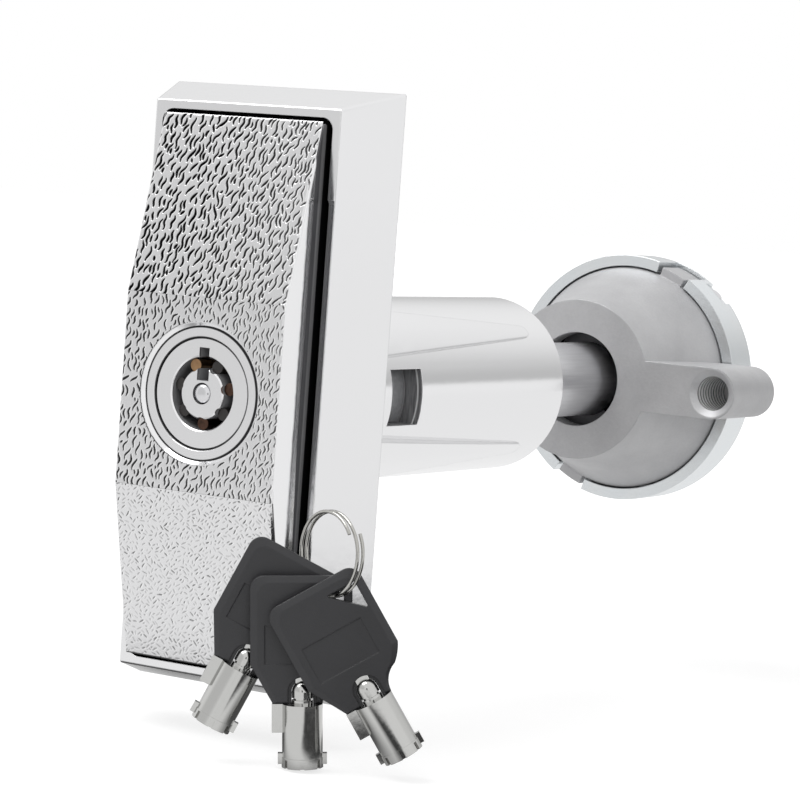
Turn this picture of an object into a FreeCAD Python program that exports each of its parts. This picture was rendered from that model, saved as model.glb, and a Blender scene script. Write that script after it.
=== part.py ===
"""Vending machine lock: a pop-out T handle in a tapered bezel with a barrel, a tubular key
cylinder, the threaded shaft's quick-grip receiver, and a split ring with three keys.

Millimetres. Origin on the lock's axis at the bezel's back plane, where it lies on the door.
+Y runs back into the machine, +Z up along the handle, +X to the side of the window.
"""
import FreeCAD, Part
import math
import os

V = FreeCAD.Vector

# Fits
running_gap = 0.08
press_gap = 0.01
pin_gap = 0.04
lift_gap = 0.1

# Bezel, the plate that shows on the door
bezel_back_width = 40.0
bezel_back_height = 88.6
bezel_front_width = 32.0
bezel_front_height = 82.8
bezel_depth = 10.5
bezel_edge_radius = 0.4
recess_width = 29.4
recess_height = 80.2
recess_corner_radius = 1.8
recess_floor_wall = 2.2
rim_dish_height = 56.0
rim_dish_drop = 0.4
rim_dish_end = 1.2

# Barrel behind the bezel
barrel_radius = 14.0
barrel_wall = 3.0
barrel_length = 64.5
barrel_end_bevel = 0.3
rib_angle = 41.0
rib_length = 55.5
rib_start_half_angle = 18.5
rib_end_half_angle = 4.2
rib_start_rise = 1.6
rib_end_rise = 0.4
window_front = 11.8
window_length = 8.6
window_height = 8.4
screw_boss_radius = 4.5
screw_boss_length = 8.0
screw_boss_spacing = 60.0
screw_core_radius = 2.1
screw_hole_depth = 8.6

# Rear end of the barrel
bush_length = 5.2
bush_inset = 2.2
bush_front = barrel_length - bush_inset - bush_length
snap_ring_gap = 0.1
snap_ring_thick = 1.2
snap_ring_depth = 0.6
snap_ring_width = 1.7
snap_ring_mouth = 5.0

# Handle
handle_side_gap = 0.97
handle_top_gap = 0.9
handle_bottom_gap = 0.7
handle_width = recess_width - 2 * handle_side_gap
handle_top = recess_height / 2 - handle_top_gap
handle_bottom = handle_bottom_gap - recess_height / 2
handle_top_front = 11.5
handle_bottom_front = 12.3
handle_back = 3.4
grip_front = 17.7
grip_top = 13.6
grip_bottom = -14.1
handle_edge_radius = 0.35
handle_wall = 2.2
handle_mid_rib = 2.4
pocket_start = 12.6
spot_face_radius = 10.1
stem_radius = 10.92
stem_shoulder = 24.1
stem_tail_radius = 7.8
stem_hex_flats = 10.0

# Lock cylinder
shell_front = 17.25
shell_radius = 9.65
shell_wall = 1.65
shell_back = 6.5
lock_edge_bevel = 0.2
face_front = 17.0
face_back = 10.7
keyway_outer_radius = 5.25
post_radius = 3.65
post_hole_radius = 1.55
post_hole_depth = 1.3
post_pin_radius = 1.25
post_pin_front = 16.3
post_pin_back = 9.0
nib_slot_width = 1.7
nib_slot_reach = 1.3
post_notch_width = 2.0
post_notch_depth = 1.8
post_notch_length = 3.5
rotor_front = 10.6
shear_plane = 5.6
pin_count = 7
pin_circle_radius = 4.3
pin_radius = 0.9
pin_front = 16.2
driver_length = 4.0
spring_bore_depth = 11.0
pin_spring_radius = 0.8
pin_spring_wall = 0.3
spindle_radius = 2.4
clip_front = 6.7
clip_thick = 0.7
clip_radius = 4.2
clip_groove_radius = 1.8
clip_mouth = 3.0
shell_pin_radius = 1.0
shell_pin_y = 1.0
shell_pin_inner = 6.1

# Cam and cross bolt
cam_front = 7.6
cam_thick = 3.0
cam_radius = 6.0
cam_square = 3.4
cam_socket_depth = 1.8
crank_throw = 3.0
crank_pin_radius = 1.2
crank_pin_end = 16.5
cam_room_radius = 6.6
bolt_front = 12.3
bolt_depth = 7.6
bolt_height = 8.2
bolt_inner_end = -7.0
bolt_nose_radius = 10.9
crank_slot_width = 2.8
crank_slot_low = 0.0
crank_slot_high = 3.5
crank_slot_depth = 4.5
bolt_room_end = -8.6
bolt_spring_y = 17.9
bolt_spring_radius = 1.4
bolt_spring_wall = 0.45
bolt_spring_inner = -3.4

# Shaft and pop spring
shaft_hex_flats = 9.8
shaft_hex_front = 25.0
shaft_radius = 6.3
shaft_end_chamfer = 0.8
collar_thick = 2.5
collar_back = bush_front - lift_gap
collar_front = collar_back - collar_thick
collar_radius = 8.6
washer_thick = 1.4
stem_tail_gap = 1.1
stem_tail_end = collar_front - washer_thick - stem_tail_gap
washer_radius = 10.7
washer_bore_radius = 5.85
pop_wire = 1.6
pop_mean_radius = 9.4
pop_turns = 10
pop_seat_gap = 0.12

# Receiver
shaft_bare_length = 29.9
boss_front = barrel_length + shaft_bare_length
boss_radius = 13.7
boss_bore_radius = 8.05
bell_waist_radius = 16.0
bell_waist_depth = 9.0
flange_radius = 19.4
bell_depth = 17.4
flange_thick = 7.0
flange_front = boss_front + bell_depth
flange_back = flange_front + flange_thick
arm_reach = 25.8
arm_width = 8.7
arm_depth = 15.8
arm_sink_radius = 3.95
arm_sink_depth = 0.95
arm_hole_radius = 2.8
arm_hole_depth = 11.0
cup_lead = 0.2
cup_radius = 21.6
cup_wall = 1.9
cup_depth = 8.6
cup_front = flange_front - cup_lead
cup_back = cup_front + cup_depth
cup_back_wall = 1.2
shaft_end_inset = 2.3
shaft_end = cup_back - shaft_end_inset
cup_edge_radius = 1.4
cup_hole_radius = 8.4
cup_slot_angles = (66.0, 244.0)
cup_slot_half_angle = 8.5
cup_slot_depth = 7.0
tab_half_angle = 6.5
tab_radius = 20.9
tab_end_gap = 0.5
cut_angle = 48.0
cut_inset = 5.0
cut_half_width = 2.4
cut_floor_radius = 20.6
cup_pin_radius = 1.1
cup_pin_inset = 6.0
cup_pin_sink = 4.0
cup_pin_end = 21.4
jaw_count = 4
jaw_inset = 3.9
jaw_front = boss_front + jaw_inset
jaw_back = flange_front - lift_gap
jaw_bore_radius = 6.38
jaw_radius = 9.8
jaw_side_gap = 1.6
jaw_room_radius = 11.5
jaw_groove_y = (jaw_front + jaw_back) / 2
jaw_ring_wire = 0.8
jaw_ring_radius = 9.5
retainer_gap = 0.3
retainer_bore_radius = 7.0

# Key ring and keys, hanging square to the side that shows them
hang_turn = 33.17
hang_roll = 4.0
ring_x = 24.55
ring_y = -18.59
ring_z = -19.7
ring_turn = -18.0
ring_wire = 0.5
ring_radius = 5.85
ring_pitch = 0.93
ring_turns = 2
ring_end_angle = 35.0
key_angles = (29.0, 0.0, -28.6)
key_pitch = 2.3
key_middle_layer = 0.05
hang_along = 1.96
hang_drop = 0.74
bow_width = 14.1
bow_height = 17.8
bow_thick = 1.1
bow_side_height = 12.3
bow_corner_radius = 1.9
bow_bevel = 0.95
bow_bevel_drop = 0.28
bow_foot_inset = 3.1
bow_foot_bevel_share = 0.3
bow_flank_bevel_share = 0.6
hip_swell_inset = 0.75
hip_swell_drop = 1.25
hip_middle_out = 0.25
hip_middle_rise = 0.35
hip_hollow_out = 0.35
hip_hollow_rise = 1.35
hole_side_inset = 1.2
hole_top_inset = 2.1
hole_top_leg = 4.5
hole_side_leg = 4.2
hole_corner_radius = 0.2
panel_inset = 2.0
panel_drop = 0.12
panel_top_gap = 0.6
panel_right = 9.2
key_tube_radius = 2.8
key_tube_bore = 2.2
key_tube_length = 8.8
key_tube_depth = 6.5
key_tube_left = 4.4
key_band_height = 1.4
key_band_rise = 0.08
key_band_slots = 7
key_slot_width = 0.55
key_slot_web = 0.25
key_slot_land = 0.2
key_nib_rise = 0.6
key_nib_height = 1.5
key_nib_width = 1.1
key_nib_low = 0.45
wing_rise = 1.44
wing_height = 4.0
wing_thick = 0.9
neck_radius = 1.45
neck_height = 3.2
neck_groove_height = 0.55
neck_groove_width = 0.3
neck_groove_depth = 0.25
notch_width = 4.0
notch_height = 3.7
notch_web = 0.3
tang_width = 1.8
tang_thick = 0.6
tang_height = 2.6
tang_sink = 0.4

axis = V(0, 1, 0)
made = {}


def cylinder(radius, front, back, x=0.0, z=0.0):
    return Part.makeCylinder(radius, back - front, V(x, front, z), axis)


def tube(radius, bore, front, back):
    return cylinder(radius, front, back).cut(cylinder(bore, front - 1, back + 1))


def block(x0, x1, y0, y1, z0, z1):
    return Part.makeBox(x1 - x0, y1 - y0, z1 - z0, V(x0, y0, z0))


def polygon(points):
    return Part.Face(Part.makePolygon(points + points[:1]))


def turned(profile):
    """Solid of revolution round the lock's axis from (radius, y) points."""
    face = polygon([V(radius, y, 0) for radius, y in profile])
    return face.revolve(V(0, 0, 0), axis, 360)


def hexagon(flats, front, back):
    corner = flats / 2 / math.cos(math.radians(30))
    points = [
        V(corner * math.cos(math.radians(60 * i)), front, corner * math.sin(math.radians(60 * i)))
        for i in range(6)
    ]
    return polygon(points).extrude(V(0, back - front, 0))


def round_position(radius, degrees, y=0.0):
    angle = math.radians(degrees)
    return V(radius * math.cos(angle), y, radius * math.sin(angle))


def turn_about_axis(shape, degrees):
    """A turned copy; positive degrees go from +X towards +Z."""
    copy = shape.copy()
    copy.rotate(V(0, 0, 0), axis, -degrees)
    return copy


def sector(half_angle, front, back, reach):
    """Wedge about the +X direction, from the axis out to reach."""
    points = [
        V(0, front, 0), round_position(reach, -half_angle, front),
        round_position(reach, half_angle, front),
    ]
    return polygon(points).extrude(V(0, back - front, 0))


def rounded_plate(width, height, radius, y0, y1):
    plate = block(-width / 2, width / 2, y0, y1, -height / 2, height / 2)
    edges = [e for e in plate.Edges if abs(e.Vertexes[0].X - e.Vertexes[1].X) < 1e-6
             and abs(e.Vertexes[0].Z - e.Vertexes[1].Z) < 1e-6]
    return plate.makeFillet(radius, edges)


def rectangle_wire(width, height, y):
    return Part.makePolygon([
        V(-width / 2, y, -height / 2), V(width / 2, y, -height / 2),
        V(width / 2, y, height / 2), V(-width / 2, y, height / 2), V(-width / 2, y, -height / 2),
    ])


def helix(centre, across, up, radius, pitch, turns, start_degrees):
    """Point and direction on a helix about across x up, by turned angle."""
    along = up.cross(across)
    rise = pitch / (2 * math.pi)

    def place(turned_angle):
        angle = math.radians(start_degrees) + turned_angle
        point = centre + across * (radius * math.cos(angle)) + up * (radius * math.sin(angle))
        point = point + along * (rise * turned_angle - pitch * turns / 2)
        direction = across * (-radius * math.sin(angle)) + up * (radius * math.cos(angle)) + along * rise
        return point, direction.normalize()

    return place


def arc_between(start, tangent, end):
    """Arc that leaves start along tangent and reaches end."""
    chord = end - start
    half = chord.Length / 2
    cosine = tangent.dot(chord) / chord.Length
    bend = math.acos(max(-1.0, min(1.0, cosine)))
    outward = tangent - chord * (tangent.dot(chord) / chord.Length ** 2)
    middle = start + chord * 0.5 + outward.normalize() * (half * math.tan(bend / 2))
    return Part.Arc(start, middle, end).toShape()


def biarc(start, first, end, second):
    """Two arcs in one smooth run between two points with their directions."""
    span = end - start
    across = 2 * (first.dot(second) - 1)
    pull = span.dot(first + second)
    reach = (pull - math.sqrt(pull ** 2 - across * span.dot(span))) / across
    joint = (start + first * reach + end - second * reach) * 0.5
    leaving = (end - second * reach - start - first * reach).normalize()
    return [arc_between(start, first, joint), arc_between(joint, leaving, end)]


def wound_tube(place, turns, wire, name):
    """Unbroken round wire along the helix, a biarc to each quarter turn."""
    steps = turns * 4
    edges = []
    for i in range(steps):
        start, first = place(i * math.pi / 2)
        end, second = place((i + 1) * math.pi / 2)
        edges.extend(biarc(start, first, end, second))
    path = Part.Wire(edges)
    start, first = place(0)
    section = Part.Wire([Part.Circle(start, first, wire / 2).toShape()])
    points = [place(i * math.pi / 16)[0] for i in range(turns * 32 + 1)]
    least = min(points[i].distanceToPoint(points[j])
                for i in range(len(points)) for j in range(i + 16, len(points)))
    print(name, "least gap to itself", round(least - wire, 3), "mm")
    shell = Part.BRepOffsetAPI.MakePipeShell(path)
    shell.add(section)
    shell.build()
    shell.makeSolid()
    return shell.shape()


def save(name, shape):
    made[name] = shape
    shape.exportStep("parts/" + name + ".step")


barrel_bore = barrel_radius - barrel_wall
recess_floor = -recess_floor_wall
pin_angles = [360.0 / pin_count * (i + 0.5) + 90 for i in range(pin_count)]
crank_radius = crank_throw / 2 / math.sin(math.radians(45))


def make_housing():
    bezel = Part.makeLoft([
        rectangle_wire(bezel_back_width, bezel_back_height, 0),
        rectangle_wire(bezel_front_width, bezel_front_height, -bezel_depth),
    ], True, True)
    outer = [e for e in bezel.Edges if e.CenterOfMass.y < -0.01]
    bezel = bezel.makeFillet(bezel_edge_radius, outer)
    recess = rounded_plate(recess_width, recess_height, recess_corner_radius,
                           -bezel_depth - 1, recess_floor)
    bezel = bezel.cut(recess)
    for side in (-1, 1):
        inner = side * recess_width / 2
        rim = side * (bezel_front_width / 2 - bezel_edge_radius / 2)
        half = rim_dish_height / 2
        dish = polygon([
            V(inner, -bezel_depth + rim_dish_drop, -half),
            V(inner, -bezel_depth - rim_dish_drop, -half - rim_dish_end),
            V(inner, -bezel_depth - rim_dish_drop, half + rim_dish_end),
            V(inner, -bezel_depth + rim_dish_drop, half),
        ]).extrude(V(rim - inner, 0, 0))
        bezel = bezel.cut(dish)
    body = bezel.fuse(turned([
        (0, recess_floor), (barrel_radius, recess_floor), (barrel_radius, barrel_length - barrel_end_bevel),
        (barrel_radius - barrel_end_bevel, barrel_length), (0, barrel_length),
    ]))
    rise_cone = turned([
        (0, 0), (barrel_radius + rib_start_rise, 0),
        (barrel_radius + rib_end_rise, rib_length),
        (barrel_radius + rib_end_rise, rib_length + barrel_radius), (0, rib_length + barrel_radius),
    ])
    reach = 2 * barrel_radius
    wedge = Part.makeLoft([
        Part.makePolygon([V(0, y, 0), round_position(reach, -a, y), round_position(reach, a, y), V(0, y, 0)])
        for y, a in ((0, rib_start_half_angle), (rib_length, rib_end_half_angle))
    ], True, True)
    nose_radius = barrel_radius * math.sin(math.radians(rib_end_half_angle))
    nose = Part.makeCylinder(nose_radius, reach, V(0, rib_length, 0), V(1, 0, 0))
    rib = wedge.fuse(nose).common(rise_cone)
    for angle in (rib_angle, 180 - rib_angle, 180 + rib_angle, -rib_angle):
        body = body.fuse(turn_about_axis(rib, angle))
    for side in (-1, 1):
        z = side * screw_boss_spacing / 2
        body = body.fuse(cylinder(screw_boss_radius, -recess_floor_wall / 2, screw_boss_length, 0, z))
        hole_front = screw_boss_length - screw_hole_depth
        body = body.cut(cylinder(screw_core_radius, hole_front, screw_boss_length + 1, 0, z))
    body = body.cut(cylinder(barrel_bore, -bezel_depth, barrel_length + 1))
    body = body.cut(block(barrel_radius / 2, reach, window_front, window_front + window_length,
                          -window_height / 2, window_height / 2))
    groove_front = bush_front + bush_length + snap_ring_gap
    body = body.cut(cylinder(barrel_bore + snap_ring_depth + press_gap, groove_front,
                             groove_front + snap_ring_thick + press_gap))
    return body.removeSplitter()


def make_rear_bush():
    return tube(barrel_bore - press_gap, shaft_radius + running_gap, bush_front, bush_front + bush_length)


def make_rear_snap_ring():
    front = bush_front + bush_length + snap_ring_gap
    outer = barrel_bore + snap_ring_depth
    ring = tube(outer, outer - snap_ring_width, front, front + snap_ring_thick)
    half = snap_ring_mouth / 2
    return ring.cut(block(-half, half, front - 1, front + snap_ring_thick + 1, -outer - 1, 0))


def make_drive_shaft():
    shaft = hexagon(shaft_hex_flats, shaft_hex_front, collar_front)
    shaft = shaft.fuse(cylinder(collar_radius, collar_front, collar_back))
    rod = turned([
        (0, collar_back), (shaft_radius, collar_back), (shaft_radius, shaft_end - shaft_end_chamfer),
        (shaft_radius - shaft_end_chamfer, shaft_end), (0, shaft_end),
    ])
    return shaft.fuse(rod)


def make_thrust_washer():
    back = collar_front - press_gap
    return tube(washer_radius, washer_bore_radius, back - washer_thick, back)


def make_pop_spring():
    front = stem_shoulder + pop_seat_gap
    back = collar_front - press_gap - washer_thick - pop_seat_gap
    pitch = (back - front - pop_wire) / pop_turns
    centre = V(0, (front + back) / 2, 0)
    place = helix(centre, V(1, 0, 0), V(0, 0, 1), pop_mean_radius, pitch, pop_turns, 0)
    return wound_tube(place, pop_turns, pop_wire, "pop_spring")


def bolt_room(clearance):
    half = bolt_height / 2 + clearance
    return block(bolt_room_end, barrel_radius, bolt_front - clearance,
                 bolt_front + bolt_depth + clearance, -half, half)


def shell_pin_hole():
    """Upright hole for the pin that fixes the cylinder in the stem."""
    place = V(0, shell_pin_y, shell_pin_inner)
    return Part.makeCylinder(shell_pin_radius + press_gap, barrel_radius, place, V(0, 0, 1))


def make_handle():
    half = handle_width / 2
    outline = [
        (-handle_back, handle_top), (-handle_top_front, handle_top), (-grip_front, grip_top),
        (-grip_front, grip_bottom), (-handle_bottom_front, handle_bottom), (-handle_back, handle_bottom),
    ]
    handle = polygon([V(-half, y, z) for y, z in outline]).extrude(V(handle_width, 0, 0))
    front = [e for e in handle.Edges if e.BoundBox.YMin < -handle_back - 1]
    handle = handle.makeFillet(handle_edge_radius, front)
    wall = handle_wall
    lean_top = (grip_front - handle_top_front) / (handle_top - grip_top)
    lean_bottom = (grip_front - handle_bottom_front) / (grip_bottom - handle_bottom)
    ends = ((handle_top - wall, 1, lean_top), (handle_bottom + wall, -1, lean_bottom))
    for end, way, lean in ends:
        start = way * pocket_start
        near = grip_front - wall - 1
        far = near - lean * (abs(end) - pocket_start)
        for side in (-1, 1):
            pocket = polygon([
                V(side * handle_mid_rib / 2, 0, start), V(side * handle_mid_rib / 2, -near, start),
                V(side * handle_mid_rib / 2, -far, end), V(side * handle_mid_rib / 2, 0, end),
            ]).extrude(V(side * (half - wall - handle_mid_rib / 2), 0, 0))
            handle = handle.cut(pocket)
    stem = cylinder(stem_radius, -handle_back - wall, stem_shoulder)
    stem = stem.fuse(cylinder(stem_tail_radius, stem_shoulder, stem_tail_end))
    handle = handle.fuse(stem)
    bevel = spot_face_radius - shell_radius
    handle = handle.cut(turned([
        (0, -grip_front - 1), (spot_face_radius + 1, -grip_front - 1),
        (spot_face_radius, -grip_front), (shell_radius + press_gap, -grip_front + bevel),
        (shell_radius + press_gap, shell_back), (0, shell_back),
    ]))
    handle = handle.cut(cylinder(cam_room_radius, shell_back - 1, bolt_front))
    handle = handle.cut(bolt_room(running_gap))
    handle = handle.cut(hexagon(stem_hex_flats, stem_shoulder, stem_tail_end + 1))
    return handle.cut(shell_pin_hole()).removeSplitter()


def bevelled_tube(radius, bore, front, back):
    """Tube of the cylinder's face, its two front edges bevelled."""
    bevel = lock_edge_bevel
    return turned([
        (bore, back), (radius, back), (radius, front + bevel), (radius - bevel, front),
        (bore + bevel, front), (bore, front + bevel),
    ])


def make_lock_shell():
    shell = bevelled_tube(shell_radius, shell_radius - shell_wall, -shell_front, shell_back)
    return shell.cut(shell_pin_hole())


def make_lock_face():
    radius = shell_radius - shell_wall - press_gap
    face = bevelled_tube(radius, keyway_outer_radius, -face_front, -face_back)
    half = nib_slot_width / 2
    slot_top = keyway_outer_radius + nib_slot_reach
    slot = block(-half, half, -face_front - 1, -face_back + 1, 0, slot_top)
    return face.cut(slot)


def make_pin_barrel():
    radius = shell_radius - shell_wall - press_gap
    front = -shear_plane + lift_gap
    barrel = tube(radius, spindle_radius + running_gap, front, shell_back)
    for angle in pin_angles:
        spot = round_position(pin_circle_radius, angle)
        bore_end = front + spring_bore_depth
        barrel = barrel.cut(cylinder(pin_radius + pin_gap, front - 1, bore_end, spot.x, spot.z))
    return barrel.cut(shell_pin_hole())


def make_shell_pin():
    length = stem_radius - running_gap - shell_pin_inner - press_gap
    place = V(0, shell_pin_y, shell_pin_inner + press_gap)
    return Part.makeCylinder(shell_pin_radius, length, place, V(0, 0, 1))


def make_rotor():
    flange_radius_inside = shell_radius - shell_wall - running_gap
    rotor = cylinder(flange_radius_inside, -rotor_front, -shear_plane)
    post_edge = post_radius - lock_edge_bevel
    rotor = rotor.fuse(turned([
        (0, -rotor_front), (post_radius, -rotor_front), (post_radius, lock_edge_bevel - face_front),
        (post_edge, -face_front), (0, -face_front),
    ]))
    rotor = rotor.fuse(cylinder(spindle_radius, -shear_plane, cam_front - lift_gap))
    half = cam_square / 2
    tail = block(-half, half, cam_front - lift_gap, cam_front + cam_socket_depth - lift_gap, -half, half)
    rotor = rotor.fuse(tail)
    for angle in pin_angles:
        spot = round_position(pin_circle_radius, angle)
        rotor = rotor.cut(cylinder(pin_radius + pin_gap, -face_front - 1, -shear_plane + 1, spot.x, spot.z))
    rotor = rotor.cut(cylinder(post_hole_radius, -face_front - 1, -face_front + post_hole_depth))
    rotor = rotor.cut(cylinder(post_pin_radius + press_gap, -face_front, -post_pin_back + press_gap))
    notch = post_notch_width / 2
    rotor = rotor.cut(block(-notch, notch, -face_front - 1, -face_front + post_notch_length,
                            post_radius - post_notch_depth, post_radius + 1))
    groove = tube(2 * spindle_radius, clip_groove_radius, clip_front - press_gap,
                  clip_front + clip_thick + press_gap)
    return rotor.cut(groove)


def make_post_pin():
    shank = cylinder(post_pin_radius, -post_pin_front + post_pin_radius, -post_pin_back)
    dome = Part.makeSphere(post_pin_radius, V(0, -post_pin_front + post_pin_radius, 0))
    return shank.fuse(dome).removeSplitter()


def make_rotor_clip():
    clip = tube(clip_radius, clip_groove_radius + press_gap, clip_front, clip_front + clip_thick)
    half = clip_mouth / 2
    return clip.cut(block(-half, half, clip_front - 1, clip_front + clip_thick + 1, -clip_radius - 1, 0))


def make_cam():
    back = cam_front + cam_thick
    cam = cylinder(cam_radius, cam_front, back)
    half = cam_square / 2 + press_gap
    cam = cam.cut(block(-half, half, cam_front - 1, cam_front + cam_socket_depth, -half, half))
    spot = round_position(crank_radius, 135)
    return cam.fuse(cylinder(crank_pin_radius, back, crank_pin_end, spot.x, spot.z))


def make_lock_bolt():
    half = bolt_height / 2
    back = bolt_front + bolt_depth
    bolt = block(bolt_inner_end, barrel_radius, bolt_front, back, -half, half)
    bolt = bolt.common(cylinder(bolt_nose_radius, bolt_front - 1, back + 1))
    slot_centre = -crank_throw / 2
    slot_half = crank_slot_width / 2
    slot = block(slot_centre - slot_half, slot_centre + slot_half, bolt_front - 1,
                 bolt_front + crank_slot_depth, crank_slot_low, crank_slot_high)
    bolt = bolt.cut(slot)
    hole = Part.makeCylinder(bolt_spring_radius + running_gap, bolt_spring_inner - bolt_inner_end + 1,
                             V(bolt_inner_end - 1, bolt_spring_y, 0), V(1, 0, 0))
    return bolt.cut(hole)


def make_bolt_spring():
    start = bolt_room_end + press_gap
    length = bolt_spring_inner - press_gap - start
    coil = Part.makeCylinder(bolt_spring_radius, length, V(start, bolt_spring_y, 0), V(1, 0, 0))
    bore = Part.makeCylinder(bolt_spring_radius - bolt_spring_wall, length + 2,
                             V(start - 1, bolt_spring_y, 0), V(1, 0, 0))
    return coil.cut(bore)


def cup_pin_hole():
    """Cross hole for the pin that fixes the cup."""
    place = V(flange_radius - cup_pin_sink, cup_front + cup_pin_inset, 0)
    hole = Part.makeCylinder(cup_pin_radius + press_gap, cup_radius, place, V(1, 0, 0))
    return turn_about_axis(hole, cut_angle)


def make_receiver_body():
    waist = Part.Arc(V(boss_radius, boss_front, 0), V(bell_waist_radius, boss_front + bell_waist_depth, 0),
                     V(flange_radius, flange_front, 0)).toShape()
    rest = Part.makePolygon([
        V(flange_radius, flange_front, 0), V(flange_radius, flange_back, 0), V(0, flange_back, 0),
        V(0, boss_front, 0), V(boss_radius, boss_front, 0),
    ])
    body = Part.Face(Part.Wire([waist] + rest.Edges)).revolve(V(0, 0, 0), axis, 360)
    half = arm_width / 2
    arm = block(0, arm_reach, boss_front, boss_front + arm_depth, -half, half)
    arm = arm.fuse(cylinder(half, boss_front, boss_front + arm_depth, arm_reach))
    body = body.fuse(arm)
    reach = 2 * cup_radius
    tab = sector(tab_half_angle, cup_front + running_gap, cup_front + cup_slot_depth - tab_end_gap, reach)
    tab = tab.common(cylinder(tab_radius, flange_front, flange_back))
    for angle in cup_slot_angles:
        body = body.fuse(turn_about_axis(tab, angle))
    body = body.cut(cylinder(boss_bore_radius, boss_front - 1, flange_back + 1))
    body = body.cut(cylinder(jaw_room_radius, jaw_front - lift_gap, flange_back + 1))
    body = body.cut(cylinder(arm_hole_radius, boss_front - 1, boss_front + arm_hole_depth, arm_reach))
    sink = Part.makeCone(arm_sink_radius, arm_hole_radius, arm_sink_depth, V(arm_reach, boss_front, 0), axis)
    body = body.cut(sink)
    return body.cut(cup_pin_hole()).removeSplitter()


def make_receiver_cup():
    inner = cup_radius - cup_wall
    cup = cylinder(cup_radius, cup_front, cup_back)
    back_edge = [e for e in cup.Edges if abs(e.BoundBox.YMin - cup_back) < 1e-4 and e.BoundBox.YLength < 1e-4]
    cup = cup.makeFillet(cup_edge_radius, back_edge)
    cup = cup.cut(cylinder(inner, cup_front - 1, cup_back - cup_back_wall))
    cup = cup.cut(cylinder(cup_hole_radius, cup_front, cup_back + 1))
    slot = sector(cup_slot_half_angle, cup_front - 1, cup_front + cup_slot_depth, 2 * cup_radius)
    slot = slot.cut(cylinder(inner - 1, cup_front - 2, cup_back))
    for angle in cup_slot_angles:
        cup = cup.cut(turn_about_axis(slot, angle))
    cut = block(cut_floor_radius, cup_radius + 1, cup_front + cut_inset, cup_back + 1,
                -cut_half_width, cut_half_width)
    return cup.cut(turn_about_axis(cut, cut_angle)).cut(cup_pin_hole())


def make_cup_pin():
    start = flange_radius - cup_pin_sink + press_gap
    place = V(start, cup_front + cup_pin_inset, 0)
    pin = Part.makeCylinder(cup_pin_radius, cup_pin_end - start, place, V(1, 0, 0))
    return turn_about_axis(pin, cut_angle)


def make_jaw_retainer():
    return tube(jaw_room_radius - press_gap, retainer_bore_radius, jaw_back + retainer_gap, flange_back)


def make_jaws():
    ring = tube(jaw_radius, jaw_bore_radius, jaw_front, jaw_back)
    wire_half = jaw_ring_wire / 2 + pin_gap
    groove = tube(jaw_radius + 1, jaw_ring_radius - wire_half,
                  jaw_groove_y - wire_half, jaw_groove_y + wire_half)
    ring = ring.cut(groove)
    half = jaw_side_gap / 2
    jaw = ring.common(block(0, jaw_radius + 1, jaw_front - 1, jaw_back + 1, -jaw_radius, jaw_radius))
    slit = block(-1, 2 * jaw_radius, jaw_front - 1, jaw_back + 1, -half, 2 * jaw_radius)
    upper = turn_about_axis(slit, 45)
    slit = block(-1, 2 * jaw_radius, jaw_front - 1, jaw_back + 1, -2 * jaw_radius, half)
    lower = turn_about_axis(slit, -45)
    jaw = jaw.cut(upper).cut(lower)
    return [turn_about_axis(jaw, 360.0 / jaw_count * i) for i in range(jaw_count)]


def make_jaw_spring_ring():
    ring = Part.makeTorus(jaw_ring_radius, jaw_ring_wire / 2, V(0, jaw_groove_y, 0), axis)
    half = jaw_side_gap / 2
    return ring.cut(block(-half, half, jaw_groove_y - 1, jaw_groove_y + 1, -jaw_room_radius, 0))


def hang_frame():
    """Directions across, up and towards the side on which the keys hang."""
    turn = math.radians(hang_turn)
    roll = math.radians(hang_roll)
    side = V(math.cos(turn), math.sin(turn), 0)
    facing = V(math.sin(turn), -math.cos(turn), 0)
    across = side * math.cos(roll) + V(0, 0, 1) * math.sin(roll)
    up = facing.cross(across)
    return across, up, facing


def ring_helix():
    turn = math.radians(ring_turn)
    centre = V(ring_x, ring_y, ring_z)
    across = V(math.cos(turn), math.sin(turn), 0)
    return helix(centre, across, V(0, 0, 1), ring_radius, ring_pitch, ring_turns, ring_end_angle)


def hang_point(layer):
    """Mean point where the ring's turns pass through the plane of a key."""
    facing = hang_frame()[2]
    place = ring_helix()
    centre = V(ring_x, ring_y, ring_z)
    total = V(0, 0, 0)
    for turn_index in range(ring_turns):
        angle = 2 * math.pi * turn_index + math.radians(270 - ring_end_angle)
        for _ in range(12):
            point, direction = place(angle)
            miss = layer - (point - centre).dot(facing)
            angle += miss / (direction.dot(facing) * ring_radius)
        total = total + place(angle)[0]
    return total * (1.0 / ring_turns)


def seat_key(shape, index):
    """Move a key from its own plane, hung at the origin, to its place on the ring."""
    across, up, facing = hang_frame()
    spin = math.radians(key_angles[index])
    right = across * math.cos(spin) + up * math.sin(spin)
    top = up * math.cos(spin) - across * math.sin(spin)
    spot = hang_point(key_middle_layer + (1 - index) * key_pitch)
    back = facing * -1
    matrix = FreeCAD.Matrix(
        right.x, back.x, top.x, spot.x,
        right.y, back.y, top.y, spot.y,
        right.z, back.z, top.z, spot.z,
        0, 0, 0, 1)
    copy = shape.copy()
    copy.Placement = FreeCAD.Placement(matrix)
    return copy


# In a key's own plane the origin is the hang point; +X right, +Z up, -Y to the front
bow_right = hole_side_inset + hang_along
bow_top = hole_top_inset + hang_drop
bow_left = bow_right - bow_width
bow_bottom = bow_top - bow_height
tube_x = bow_left + key_tube_left + key_tube_radius


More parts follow.
